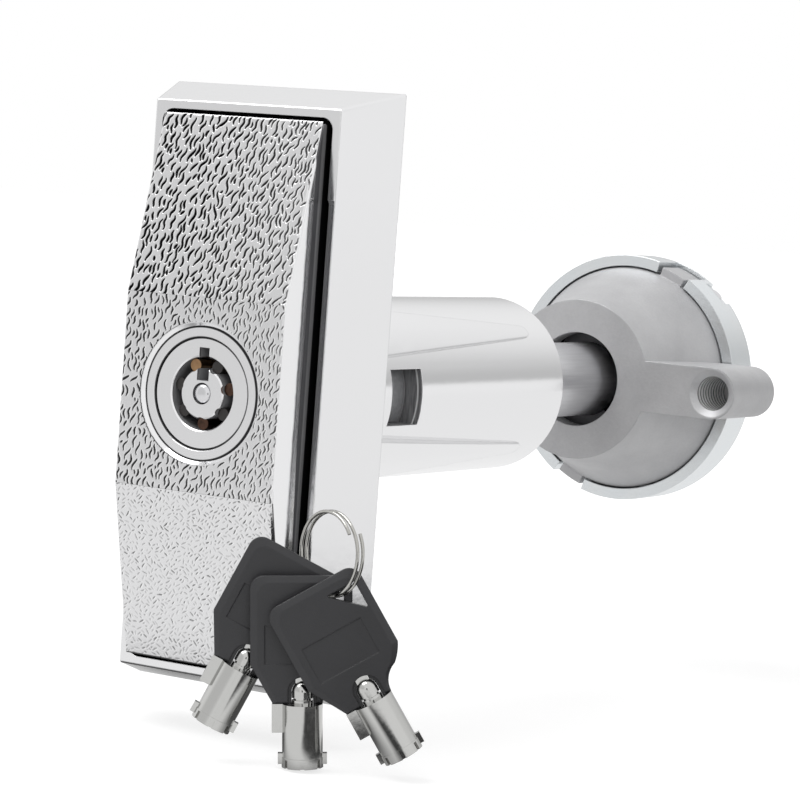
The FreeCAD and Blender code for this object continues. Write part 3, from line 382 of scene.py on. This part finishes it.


# Leather grain on the handle's three front faces, etched in the die, cast and plated over. Short wavy
# grooves lean to the right, deep and black at the top and finer in the middle; at the bottom they are
# short, grey and lean both ways. Their shade is painted into them, and highlights on their right lips.
grain_peel_width = 0.7143 * mm
grain, tree = new_material("chrome_over_cast_leather_grain")
place = add_node(tree, "ShaderNodeTexCoord", {}, {}).outputs["Object"]
groove_shade = add_node(tree, "ShaderNodeAttribute", {"attribute_name": "groove"}, {}).outputs["Fac"]
lip_highlight = add_node(tree, "ShaderNodeAttribute", {"attribute_name": "crest"}, {}).outputs["Fac"]
peel = add_node(tree, "ShaderNodeTexNoise", {"Scale": 1 / grain_peel_width, "Detail": 3.0},
                {"Vector": place})
relief = add_node(tree, "ShaderNodeBump", {"Strength": 0.12, "Distance": 0.2 * mm}, {"Height": peel})
# painted highlights on the lips and painted shade in the grooves
painted_light = add_node(tree, "ShaderNodeMix", {
    "data_type": "RGBA", "A": linear("#E4E4E5"), "B": linear("#FDFDFD")}, {"Factor": lip_highlight})
colour = add_node(tree, "ShaderNodeMix", {"data_type": "RGBA", "B": linear("#060607")},
                  {"Factor": groove_shade, "A": painted_light.outputs["Result"]})
gloss = add_node(tree, "ShaderNodeMapRange", {"To Min": 0.22, "To Max": 0.5}, {"Value": groove_shade})
shader = add_node(tree, "ShaderNodeBsdfPrincipled", {"Metallic": 1.0}, {
    "Base Color": colour.outputs["Result"], "Roughness": gloss, "Normal": relief})
add_node(tree, "ShaderNodeOutputMaterial", {}, {"Surface": shader})

# sizes in mm from here to the end of the section
chance = random.Random(7)
half = 13.63
skin_proud, skin_sunk = 0.12, 0.03
side_border, end_border = 0.30, 0.15
grain_step, stroke_step = 0.1, 0.08
sway_length = 1.75
throws, shortening = 11000, (1.0, 0.7, 0.4)
length_spread, radius_spread, grey_range = (0.6, 1.35), (0.8, 1.1), (0.30, 0.74)
crossed_share, dark_share = 0.42, 0.15
thinner_right, thinner_ends = 0.2, 0.45
wall_end, wall_width = 1.5, 0.4
spot_face_radius = 10.18
# each face: its two ends as (y, z), least gap, mean length, radius, shade, lean and its spread, sway
grain_faces = (
    ("handle_grain_top", (-11.43, 39.5), (-17.7, 13.6), 0.14, 2.1, 0.168, 1.0, 15, 9, 26),
    ("handle_grain_middle", (-17.7, 13.6), (-17.7, -14.1), 0.19, 1.6, 0.122, 0.96, 12, 12, 30),
    ("handle_grain_bottom", (-17.7, -14.1), (-12.3, -39.4), 0.19, 0.66, 0.080, 0.84, 48, 14, 12),
)
for name, upper, lower, spare, length, width, shade, lean, spread, sway in grain_faces:
    lowest = name == "handle_grain_bottom"
    run = Vector((lower[0] - upper[0], lower[1] - upper[1]))
    tall = run.length
    down = run / tall
    out = Vector((down.y, -down.x))
    columns = int(2 * half / grain_step)
    rows = int(tall / grain_step)
    xs = np.linspace(-half, half, columns + 1)
    ds = np.linspace(0, tall, rows + 1)
    groove = np.zeros((rows + 1, columns + 1))
    taken = np.zeros((rows + 1, columns + 1), dtype=bool)
    # strokes are thrown at random, ever shorter, and kept where they clear all the ones before by
    # the least gap; neighbours sway together, as the phase of the wave drifts slowly over the face
    for throw in range(throws):
        x = chance.uniform(-half, half)
        d = chance.uniform(0, tall)
        tilt = chance.gauss(lean, spread)
        if lowest and chance.random() < crossed_share:
            tilt -= 2 * lean
        reach = length * chance.uniform(*length_spread) * shortening[len(shortening) * throw // throws]
        depth = 1.0
        if lowest and chance.random() >= dark_share:
            depth = chance.uniform(*grey_range)
        core = width * (1.0 - thinner_right * x / half) * chance.uniform(*radius_spread)
        if lowest:
            core = width
        steps = max(3, int(reach / stroke_step))
        turn = math.radians(tilt)
        px = x - math.sin(turn) * reach / 2
        pd = d + math.cos(turn) * reach / 2
        points = []
        for i in range(steps + 1):
            wave = (2 * math.pi * pd / sway_length + 2.2 * math.sin(0.55 * px + 0.31 * pd)
                    + 1.9 * math.sin(0.9 * px - 0.23 * pd + 2))
            heading = turn + math.radians(sway) * math.sin(wave)
            points.append((px, pd, core * (1.0 - thinner_ends * abs(2 * i / steps - 1) ** 2)))
            px += math.sin(heading) * reach / steps
            pd -= math.cos(heading) * reach / steps
        spots = [(round(pd / grain_step), round((px + half) / grain_step)) for px, pd, _ in points]
        if any(0 <= i <= rows and 0 <= j <= columns and taken[i, j] for i, j in spots):
            continue
        for px, pd, radius in points:
            clear = radius + core + spare
            i0, i1 = np.searchsorted(ds, (pd - clear, pd + clear))
            j0, j1 = np.searchsorted(xs, (px - clear, px + clear))
            gap = np.hypot(ds[i0:i1, None] - pd, xs[None, j0:j1] - px)
            taken[i0:i1, j0:j1] |= gap < clear
            value = np.clip((wall_end - gap / radius) / wall_width, 0, 1) * depth
            groove[i0:i1, j0:j1] = np.maximum(groove[i0:i1, j0:j1], value)
    # painted highlight on the lip to the right of each groove
    crest = np.zeros_like(groove)
    crest[:, 2:] = np.clip(groove[:, :-2] - groove[:, 2:], 0, 1)
    bpy.ops.mesh.primitive_grid_add(x_subdivisions=columns, y_subdivisions=rows, size=1)
    skin = bpy.context.object
    skin.name = name
    flat = np.empty(len(skin.data.vertices) * 3)
    skin.data.vertices.foreach_get("co", flat)
    flat = flat.reshape(-1, 3)
    j = np.rint((flat[:, 0] + 0.5) * columns).astype(int)
    i = np.rint((0.5 - flat[:, 1]) * rows).astype(int)
    x, d, g, c = xs[j], ds[i], groove[i, j], crest[i, j]
    # the skin sinks into the casting at its sides and outer ends; the strokes pale towards the
    # right, on the lowest face downwards
    border = (half - np.abs(x)) / side_border
    if name != "handle_grain_middle":
        outer = tall - d if lowest else d
        border = np.minimum(border, outer / end_border)
    border = np.clip(border, 0, 1)
    groove_depth = 0.05 if lowest else 0.08
    rise = skin_proud * border - groove_depth * g * border - skin_sunk * (1 - border)
    fade = 1.0 - 0.4 * d / tall if lowest else 1.0 - 0.05 * (x / half + 0.2)
    g = np.clip(g * np.clip(border * 1.5, 0, 1) * fade, 0, 1)
    y = upper[0] + down.x * d + out.x * rise
    z = upper[1] + down.y * d + out.y * rise
    skin.data.vertices.foreach_set("co", (np.column_stack((x, y, z)) / 1000).ravel())
    # groove holds the painted shade in the grooves, crest the painted highlight on their lips
    for mark_name, values in (("groove", g * shade), ("crest", c * shade)):
        mark = skin.data.attributes.new(mark_name, "FLOAT", "POINT")
        mark.data.foreach_set("value", values)
    skin.data.update()
    skin.data.materials.append(grain)
    bpy.ops.object.mode_set(mode="EDIT")
    bpy.ops.mesh.select_all(action="SELECT")
    bpy.ops.mesh.normals_make_consistent(inside=False)
    bpy.ops.object.mode_set(mode="OBJECT")
    if sum(p.normal.y for p in skin.data.polygons[:200]) > 0:
        skin.data.flip_normals()
    # open round the spot face of the cylinder
    if name == "handle_grain_middle":
        bpy.ops.object.mode_set(mode="EDIT")
        bpy.ops.mesh.select_all(action="DESELECT")
        bpy.ops.object.mode_set(mode="OBJECT")
        for vertex in skin.data.vertices:
            vertex.select = math.hypot(vertex.co.x, vertex.co.z) < spot_face_radius * mm
        bpy.ops.object.mode_set(mode="EDIT")
        bpy.ops.mesh.delete(type="VERT")
        bpy.ops.object.mode_set(mode="OBJECT")
    bpy.ops.object.shade_smooth()
    skin.select_set(False)
    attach(skin, "handle_unit")


# Tubular cylinder. Shell, face and rotor are turned from bar, ground flat and plated with satin
# chrome, and a cross pin holds the shell in the stem. Rings of the lathe stay under the plate, drawn
# wider than they are; oil and dust lie in the joints round shell and face, and shade is painted almost
# black deep in the keyway.
lathe_ring = 0.22 * mm
joint_radii = (9.50 * mm, 8.00 * mm)
keyway_dark_from, keyway_dark_to = -16.80 * mm, -16.50 * mm
turned_chrome, tree = new_material("satin_chrome_on_turned_steel")
place = add_node(tree, "ShaderNodeTexCoord", {}, {}).outputs["Object"]
parts = add_node(tree, "ShaderNodeSeparateXYZ", {}, {0: place})
flat = add_node(tree, "ShaderNodeCombineXYZ", {}, {"X": parts.outputs["X"], "Y": parts.outputs["Z"]})
radius = add_node(tree, "ShaderNodeVectorMath", {"operation": "LENGTH"}, {0: flat}).outputs["Value"]
turns = add_node(tree, "ShaderNodeMath", {"operation": "MULTIPLY", 1: 2 * math.pi / lathe_ring},
                 {0: radius})
rings = add_node(tree, "ShaderNodeMath", {"operation": "SINE"}, {0: turns})
relief = add_node(tree, "ShaderNodeBump", {"Strength": 0.03, "Distance": 0.1 * mm}, {"Height": rings})
lines = []
for joint in joint_radii:
    off = add_node(tree, "ShaderNodeMath", {"operation": "SUBTRACT", 1: joint}, {0: radius})
    off = add_node(tree, "ShaderNodeMath", {"operation": "ABSOLUTE"}, {0: off})
    lines.append(add_node(tree, "ShaderNodeMapRange", {
        "From Min": 0.18 * mm, "From Max": 0.09 * mm}, {"Value": off}))
dirt = add_node(tree, "ShaderNodeMath", {"operation": "MAXIMUM"}, {0: lines[0], 1: lines[1]})
# painted shade: deep in the keyway the colour turns almost black
deep = add_node(tree, "ShaderNodeMapRange", {
    "From Min": keyway_dark_from, "From Max": keyway_dark_to}, {"Value": parts.outputs["Y"]})
dirt_and_shade_mask = add_node(tree, "ShaderNodeMath", {"operation": "MAXIMUM"}, {0: deep, 1: dirt})
dirt_and_shade_colour = add_node(tree, "ShaderNodeMix", {
    "data_type": "RGBA", "A": linear("#1E1E20"), "B": linear("#9A9A9C")}, {"Factor": deep})
colour = add_node(tree, "ShaderNodeMix", {"data_type": "RGBA", "A": linear("#EBEBEC")},
                  {"Factor": dirt_and_shade_mask, "B": dirt_and_shade_colour.outputs["Result"]})
gloss = add_node(tree, "ShaderNodeMapRange", {"To Min": 0.20, "To Max": 0.55}, {"Value": dirt_and_shade_mask})
metal = add_node(tree, "ShaderNodeMapRange", {"To Min": 1.0, "To Max": 0.15}, {"Value": dirt_and_shade_mask})
shader = add_node(tree, "ShaderNodeBsdfPrincipled", {}, {
    "Base Color": colour.outputs["Result"], "Metallic": metal, "Roughness": gloss, "Normal": relief})
add_node(tree, "ShaderNodeOutputMaterial", {}, {"Surface": shader})
dress(["lock_shell", "lock_face", "rotor"], turned_chrome)


# Post pin. Hardened steel, pressed into the centre post. Its dome, ground and polished to a mirror,
# fills the hole in the post, where the solid is a plain pin. The cross pins are the same drill rod.
ball_mark_size = 0.4 * mm
dome_radius, dome_y, dome_shape = 1.28 * mm, -16.52 * mm, (1.1, 0.60, 1.1)
steel_ball, tree = new_material("polished_hardened_steel")
place = add_node(tree, "ShaderNodeTexCoord", {}, {}).outputs["Object"]
marks = add_node(tree, "ShaderNodeTexNoise", {"Scale": 1 / ball_mark_size, "Detail": 2.0},
                 {"Vector": place})
gloss = add_node(tree, "ShaderNodeMapRange", {"To Min": 0.06, "To Max": 0.16}, {"Value": marks})
shader = add_node(tree, "ShaderNodeBsdfPrincipled", {
    "Metallic": 1.0, "Base Color": linear("#D9D9DB")}, {"Roughness": gloss})
add_node(tree, "ShaderNodeOutputMaterial", {}, {"Surface": shader})
dress(["post_pin", "shell_pin", "cup_pin"], steel_ball)
bpy.ops.mesh.primitive_uv_sphere_add(segments=48, ring_count=24, radius=dome_radius)
dome = bpy.context.object
dome.name = "post_pin_dome"
bpy.ops.object.mode_set(mode="EDIT")
bpy.ops.mesh.select_all(action="SELECT")
bpy.ops.transform.resize(value=dome_shape)
bpy.ops.transform.translate(value=(0, dome_y, 0))
bpy.ops.object.mode_set(mode="OBJECT")
bpy.ops.object.shade_smooth()
dome.data.materials.append(steel_ball)
dome.select_set(False)
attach(dome, "rotor_unit")


# Key pins, drivers and pin barrel. Brass, turned on small automatics, the pins loose in their bores.
# Most of the key pins are painted nearly black as shade, in clouds of 0.7 mm; the one at the upper
# left is painted lit in its coppery colour, and two others in half shade.
shade_cloud_size, tarnish_size = 0.6667 * mm, 0.7692 * mm
# painted shade: these key pins are painted nearly black, as they lie in the keyway's shade
shaded_key_pins, tree = new_material("key_pin_brass_in_painted_shade")
place = add_node(tree, "ShaderNodeTexCoord", {}, {}).outputs["Object"]
marks = add_node(tree, "ShaderNodeTexNoise", {"Scale": 1 / shade_cloud_size, "Detail": 3.0},
                 {"Vector": place})
colour = add_node(tree, "ShaderNodeMix", {
    "data_type": "RGBA", "A": linear("#3A3634"), "B": linear("#2A2827")}, {"Factor": marks})
shader = add_node(tree, "ShaderNodeBsdfPrincipled", {"Metallic": 0.1, "Roughness": 0.35},
                  {"Base Color": colour.outputs["Result"]})
add_node(tree, "ShaderNodeOutputMaterial", {}, {"Surface": shader})
dress(["key_pin_%d" % i for i in (2, 3, 5, 7)], shaded_key_pins)

# lit and shaded copies of the key pins' brass, then the turned brass of drivers and pin barrel
for name, light, dark, pieces in (
        ("key_pin_brass_in_light", "#B9946E", "#7C6048", ["key_pin_1"]),
        ("key_pin_brass_in_half_shade", "#6E5244", "#262220", ["key_pin_4", "key_pin_6"]),
        ("turned_brass", "#C9A15C", "#9A7638",
         ["driver_pin_%d" % i for i in range(1, 8)] + ["pin_barrel"])):
    brass, tree = new_material(name)
    place = add_node(tree, "ShaderNodeTexCoord", {}, {}).outputs["Object"]
    marks = add_node(tree, "ShaderNodeTexNoise", {"Scale": 1 / tarnish_size, "Detail": 3.0},
                     {"Vector": place})
    colour = add_node(tree, "ShaderNodeMix", {
        "data_type": "RGBA", "A": linear(light), "B": linear(dark)}, {"Factor": marks})
    shader = add_node(tree, "ShaderNodeBsdfPrincipled", {"Metallic": 1.0, "Roughness": 0.28},
                      {"Base Color": colour.outputs["Result"]})
    add_node(tree, "ShaderNodeOutputMaterial", {}, {"Surface": shader})
    dress(pieces, brass)


# Springs, clips and the washer. Spring steel, drawn or stamped, tempered and oiled, and slipped over
# its part or snapped into its groove. The oil gives the grey steel soft dark clouds of 1.4 mm.
oil_cloud_size = 1.4286 * mm
spring_steel, tree = new_material("tempered_spring_steel")
place = add_node(tree, "ShaderNodeTexCoord", {}, {}).outputs["Object"]
marks = add_node(tree, "ShaderNodeTexNoise", {"Scale": 1 / oil_cloud_size, "Detail": 4.0},
                 {"Vector": place})
colour = add_node(tree, "ShaderNodeMix", {
    "data_type": "RGBA", "A": linear("#8C8C90"), "B": linear("#66676B")}, {"Factor": marks})
gloss = add_node(tree, "ShaderNodeMapRange", {"To Min": 0.25, "To Max": 0.42}, {"Value": marks})
shader = add_node(tree, "ShaderNodeBsdfPrincipled", {"Metallic": 1.0},
                  {"Base Color": colour.outputs["Result"], "Roughness": gloss})
add_node(tree, "ShaderNodeOutputMaterial", {}, {"Surface": shader})
dress(["pin_spring_%d" % i for i in range(1, 8)] + [
    "pop_spring", "bolt_spring", "rotor_clip", "rear_snap_ring", "jaw_spring_ring",
    "thrust_washer"], spring_steel)


# Cross bolt, cam and jaw retainer. Zinc castings left as they come from the die, dull grey with a
# skin that is rough at 0.6 mm. The bolt slides in the stem and the cam sits on the rotor's tail.
cast_skin_size = 0.5556 * mm
raw_zinc, tree = new_material("raw_zinc_casting")
place = add_node(tree, "ShaderNodeTexCoord", {}, {}).outputs["Object"]
grit = add_node(tree, "ShaderNodeTexNoise", {"Scale": 1 / cast_skin_size, "Detail": 4.0},
                {"Vector": place})
relief = add_node(tree, "ShaderNodeBump", {"Strength": 0.2, "Distance": 0.2 * mm}, {"Height": grit})
colour = add_node(tree, "ShaderNodeMix", {
    "data_type": "RGBA", "A": linear("#BDBEC0"), "B": linear("#8C8D90")}, {"Factor": grit})
shader = add_node(tree, "ShaderNodeBsdfPrincipled", {"Metallic": 0.4, "Roughness": 0.38},
                  {"Base Color": colour.outputs["Result"], "Normal": relief})
add_node(tree, "ShaderNodeOutputMaterial", {}, {"Surface": shader})
dress(["lock_bolt", "cam", "jaw_retainer"], raw_zinc)


# Rear bush. Sintered bronze, pressed to shape and soaked with oil, held in the barrel's end by the
# snap ring. Its pores, drawn at 0.25 mm so that they show, darken the bronze.
pore_size = 0.25 * mm
sintered, tree = new_material("sintered_bronze")
place = add_node(tree, "ShaderNodeTexCoord", {}, {}).outputs["Object"]
pores = add_node(tree, "ShaderNodeTexNoise", {"Scale": 1 / pore_size, "Detail": 3.0},
                 {"Vector": place})
colour = add_node(tree, "ShaderNodeMix", {
    "data_type": "RGBA", "A": linear("#A8875A"), "B": linear("#5E4A2E")}, {"Factor": pores})
relief = add_node(tree, "ShaderNodeBump", {"Strength": 0.25, "Distance": 0.1 * mm}, {"Height": pores})
shader = add_node(tree, "ShaderNodeBsdfPrincipled", {"Metallic": 1.0, "Roughness": 0.45},
                  {"Base Color": colour.outputs["Result"], "Normal": relief})
add_node(tree, "ShaderNodeOutputMaterial", {}, {"Surface": shader})
dress(["rear_bush"], sintered)


# Drive shaft. Cold drawn steel rod, satin from the die. The fine marks along it are drawn 0.4 mm
# apart so that they show. Its thread is rolled, on the length inside the receiver.
rod_mark_width, rod_mark_length = 0.3846 * mm, 11.11 * mm
shaft_pitch, thread_start, thread_height = 1.5 * mm, 97 * mm, 4.0
rod_steel, tree = new_material("cold_drawn_steel_rod")
place = add_node(tree, "ShaderNodeTexCoord", {}, {}).outputs["Object"]
parts = add_node(tree, "ShaderNodeSeparateXYZ", {}, {0: place})
drawn = add_node(tree, "ShaderNodeMapping", {
    "Scale": (1 / rod_mark_width, 1 / rod_mark_length, 1 / rod_mark_width)}, {"Vector": place})
streaks = add_node(tree, "ShaderNodeTexNoise", {"Scale": 1.0, "Detail": 3.0}, {"Vector": drawn})
colour = add_node(tree, "ShaderNodeMix", {
    "data_type": "RGBA", "A": linear("#E4E4E6"), "B": linear("#CACACC")}, {"Factor": streaks})
around = add_node(tree, "ShaderNodeMath", {"operation": "ARCTAN2"},
                  {0: parts.outputs["Z"], 1: parts.outputs["X"]})
pitch = add_node(tree, "ShaderNodeMath", {
    "operation": "MULTIPLY_ADD", 1: 2 * math.pi / shaft_pitch}, {0: parts.outputs["Y"], 2: around})
crest = add_node(tree, "ShaderNodeMath", {"operation": "SINE"}, {0: pitch})
threaded = add_node(tree, "ShaderNodeMath", {"operation": "GREATER_THAN", 1: thread_start},
                    {0: parts.outputs["Y"]})
thread = add_node(tree, "ShaderNodeMath", {"operation": "MULTIPLY"}, {0: crest, 1: threaded})
height = add_node(tree, "ShaderNodeMath", {"operation": "MULTIPLY_ADD", 1: thread_height},
                  {0: thread, 2: streaks})
relief = add_node(tree, "ShaderNodeBump", {"Strength": 0.25, "Distance": 0.1 * mm},
                  {"Height": height})
shader = add_node(tree, "ShaderNodeBsdfPrincipled", {"Metallic": 1.0, "Roughness": 0.33},
                  {"Base Color": colour.outputs["Result"], "Normal": relief})
add_node(tree, "ShaderNodeOutputMaterial", {}, {"Surface": shader})
dress(["drive_shaft"], rod_steel)


# Receiver casting. Zinc, barrel finished and left matt, with the fine grit of the tumbling stones
# over clouds of 7 mm. The hole in its arm is tapped.
stone_grit_size, casting_cloud_size = 0.4167 * mm, 7.143 * mm
hole_x, hole_radius, hole_pitch, tapped_height = 25.8 * mm, 2.90 * mm, 1.0 * mm, 9.0
casting, tree = new_material("tumbled_zinc_casting")
place = add_node(tree, "ShaderNodeTexCoord", {}, {}).outputs["Object"]
parts = add_node(tree, "ShaderNodeSeparateXYZ", {}, {0: place})
grit = add_node(tree, "ShaderNodeTexNoise", {"Scale": 1 / stone_grit_size, "Detail": 4.0},
                {"Vector": place})
cloud = add_node(tree, "ShaderNodeTexNoise", {"Scale": 1 / casting_cloud_size, "Detail": 3.0},
                 {"Vector": place})
mixed = add_node(tree, "ShaderNodeMath", {"operation": "MULTIPLY_ADD", 1: 0.4}, {0: grit, 2: cloud})
colour = add_node(tree, "ShaderNodeMix", {
    "data_type": "RGBA", "A": linear("#D6D6D7"), "B": linear("#B9B9BB")}, {"Factor": mixed})
# the tapped thread: painted highlights on its crests and painted shade in its roots, once a pitch
beside = add_node(tree, "ShaderNodeMath", {"operation": "SUBTRACT", 1: hole_x},
                  {0: parts.outputs["X"]})
flat = add_node(tree, "ShaderNodeCombineXYZ", {}, {"X": beside, "Y": parts.outputs["Z"]})
radius = add_node(tree, "ShaderNodeVectorMath", {"operation": "LENGTH"}, {0: flat}).outputs["Value"]
in_hole = add_node(tree, "ShaderNodeMath", {"operation": "LESS_THAN", 1: hole_radius}, {0: radius})
turns = add_node(tree, "ShaderNodeMath", {"operation": "MULTIPLY", 1: 2 * math.pi / hole_pitch},
                 {0: parts.outputs["Y"]})
thread = add_node(tree, "ShaderNodeMath", {"operation": "SINE"}, {0: turns})
thread = add_node(tree, "ShaderNodeMath", {"operation": "MULTIPLY"}, {0: thread, 1: in_hole})
height = add_node(tree, "ShaderNodeMath", {"operation": "MULTIPLY_ADD", 1: tapped_height},
                  {0: thread, 2: grit})
root_shade = add_node(tree, "ShaderNodeMapRange", {"From Min": 0.3, "From Max": 0.8, "To Max": 0.8},
                {"Value": thread})
lit = add_node(tree, "ShaderNodeMix", {"data_type": "RGBA", "B": linear("#FFFFFF")},
               {"Factor": in_hole, "A": colour.outputs["Result"]})
colour = add_node(tree, "ShaderNodeMix", {"data_type": "RGBA", "B": linear("#303032")},
                  {"Factor": root_shade, "A": lit.outputs["Result"]})
edge = add_node(tree, "ShaderNodeBevel", {"samples": 4, "Radius": 0.3 * mm}, {})
relief = add_node(tree, "ShaderNodeBump", {"Strength": 0.22, "Distance": 0.2 * mm},
                  {"Height": height, "Normal": edge})
shader = add_node(tree, "ShaderNodeBsdfPrincipled", {"Metallic": 0.45, "Roughness": 0.48},
                  {"Base Color": colour.outputs["Result"], "Normal": relief})
add_node(tree, "ShaderNodeOutputMaterial", {}, {"Surface": shader})
dress(["receiver_body"], casting)


# Receiver cup. Deep drawn steel over the casting's rim, held by the cup pin. It is zinc plated and
# blue passivated, which leaves a cold sheen in clouds of 6 mm.
sheen_size, cup_grit_size = 6.25 * mm, 0.6667 * mm
zinc_plate, tree = new_material("blue_passivated_zinc_plate")
place = add_node(tree, "ShaderNodeTexCoord", {}, {}).outputs["Object"]
cloud = add_node(tree, "ShaderNodeTexNoise", {"Scale": 1 / sheen_size, "Detail": 3.0},
                 {"Vector": place})
colour = add_node(tree, "ShaderNodeMix", {
    "data_type": "RGBA", "A": linear("#E2E8EC"), "B": linear("#E9EAEA")}, {"Factor": cloud})
grit = add_node(tree, "ShaderNodeTexNoise", {"Scale": 1 / cup_grit_size, "Detail": 2.0},
                {"Vector": place})
edge = add_node(tree, "ShaderNodeBevel", {"samples": 4, "Radius": 0.25 * mm}, {})
relief = add_node(tree, "ShaderNodeBump", {"Strength": 0.08, "Distance": 0.2 * mm},
                  {"Height": grit, "Normal": edge})
shader = add_node(tree, "ShaderNodeBsdfPrincipled", {"Metallic": 0.9, "Roughness": 0.27},
                  {"Base Color": colour.outputs["Result"], "Normal": relief})
add_node(tree, "ShaderNodeOutputMaterial", {}, {"Surface": shader})
dress(["receiver_cup"], zinc_plate)


# Split nut jaws. Hardened steel, threaded in the bore to the shaft's pitch, blackened and oiled to a
# faint dark sheen. Four of them slide in the receiver, and their spring ring holds them shut.
jaw_oil_size = 1.111 * mm
jaw_steel, tree = new_material("oiled_black_steel")
place = add_node(tree, "ShaderNodeTexCoord", {}, {}).outputs["Object"]
parts = add_node(tree, "ShaderNodeSeparateXYZ", {}, {0: place})
around = add_node(tree, "ShaderNodeMath", {"operation": "ARCTAN2"},
                  {0: parts.outputs["Z"], 1: parts.outputs["X"]})
pitch = add_node(tree, "ShaderNodeMath", {
    "operation": "MULTIPLY_ADD", 1: 2 * math.pi / shaft_pitch}, {0: parts.outputs["Y"], 2: around})
crest = add_node(tree, "ShaderNodeMath", {"operation": "SINE"}, {0: pitch})
relief = add_node(tree, "ShaderNodeBump", {"Strength": 0.3, "Distance": 0.3 * mm}, {"Height": crest})
marks = add_node(tree, "ShaderNodeTexNoise", {"Scale": 1 / jaw_oil_size, "Detail": 3.0},
                 {"Vector": place})
colour = add_node(tree, "ShaderNodeMix", {
    "data_type": "RGBA", "A": linear("#4A4A4C"), "B": linear("#2C2C2E")}, {"Factor": marks})
shader = add_node(tree, "ShaderNodeBsdfPrincipled", {"Metallic": 1.0, "Roughness": 0.34},
                  {"Base Color": colour.outputs["Result"], "Normal": relief})
add_node(tree, "ShaderNodeOutputMaterial", {}, {"Surface": shader})
dress(["nut_jaw_%d" % i for i in range(1, 5)], jaw_steel)


# Split ring. Hard drawn steel wire, wound in two turns and nickel plated. Handling wears the nickel
# to a warm shine, duller in spots of 0.8 mm.
ring_wear_size = 0.8333 * mm
ring_nickel, tree = new_material("nickel_plated_wire")
place = add_node(tree, "ShaderNodeTexCoord", {}, {}).outputs["Object"]
marks = add_node(tree, "ShaderNodeTexNoise", {"Scale": 1 / ring_wear_size, "Detail": 2.0},
                 {"Vector": place})
gloss = add_node(tree, "ShaderNodeMapRange", {"To Min": 0.12, "To Max": 0.28}, {"Value": marks})
shader = add_node(tree, "ShaderNodeBsdfPrincipled", {
    "Metallic": 1.0, "Base Color": linear("#B9B8B4")}, {"Roughness": gloss})
add_node(tree, "ShaderNodeOutputMaterial", {}, {"Surface": shader})
dress(["key_ring"], ring_nickel)


# Key blades. Steel tube with pressed nibs and wing, and a neck that the bow is moulded on. The bright
# nickel plate is a mirror, a little uneven at 0.6 mm.
key_plate_size = 0.625 * mm
key_nickel, tree = new_material("bright_nickel_on_steel_tube")
place = add_node(tree, "ShaderNodeTexCoord", {}, {}).outputs["Object"]
marks = add_node(tree, "ShaderNodeTexNoise", {"Scale": 1 / key_plate_size, "Detail": 3.0},
                 {"Vector": place})
gloss = add_node(tree, "ShaderNodeMapRange", {"To Min": 0.07, "To Max": 0.20}, {"Value": marks})
relief = add_node(tree, "ShaderNodeBump", {"Strength": 0.05, "Distance": 0.1 * mm}, {"Height": marks})
shader = add_node(tree, "ShaderNodeBsdfPrincipled", {
    "Metallic": 1.0, "Base Color": linear("#C6C6C4")}, {"Roughness": gloss, "Normal": relief})
add_node(tree, "ShaderNodeOutputMaterial", {}, {"Surface": shader})
dress(["key_blade_%d" % i for i in (1, 2, 3)], key_nickel)


# Key bows. Black ABS moulded over the neck, satin, with the fine grain of a spark eroded mould, drawn
# at 0.2 mm so that it shows, and faint clouds of 4.5 mm. The mould leaves rounded edges.
mould_grain_size, bow_cloud_size = 0.2 * mm, 4.545 * mm
bow_plastic, tree = new_material("moulded_black_abs")
place = add_node(tree, "ShaderNodeTexCoord", {}, {}).outputs["Object"]
grit = add_node(tree, "ShaderNodeTexNoise", {"Scale": 1 / mould_grain_size, "Detail": 3.0},
                {"Vector": place})
cloud = add_node(tree, "ShaderNodeTexNoise", {"Scale": 1 / bow_cloud_size, "Detail": 2.0},
                 {"Vector": place})
edge = add_node(tree, "ShaderNodeBevel", {"samples": 4, "Radius": 0.25 * mm}, {})
relief = add_node(tree, "ShaderNodeBump", {"Strength": 0.15, "Distance": 0.1 * mm},
                  {"Height": grit, "Normal": edge})
colour = add_node(tree, "ShaderNodeMix", {
    "data_type": "RGBA", "A": linear("#2F2F31"), "B": linear("#363639")}, {"Factor": cloud})
shader = add_node(tree, "ShaderNodeBsdfPrincipled", {"Roughness": 0.42, "IOR": 1.53},
                  {"Base Color": colour.outputs["Result"], "Normal": relief})
add_node(tree, "ShaderNodeOutputMaterial", {}, {"Surface": shader})
dress(["key_bow_%d" % i for i in (1, 2, 3)], bow_plastic)


# The box round the solids and the pieces added to them.
low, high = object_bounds()
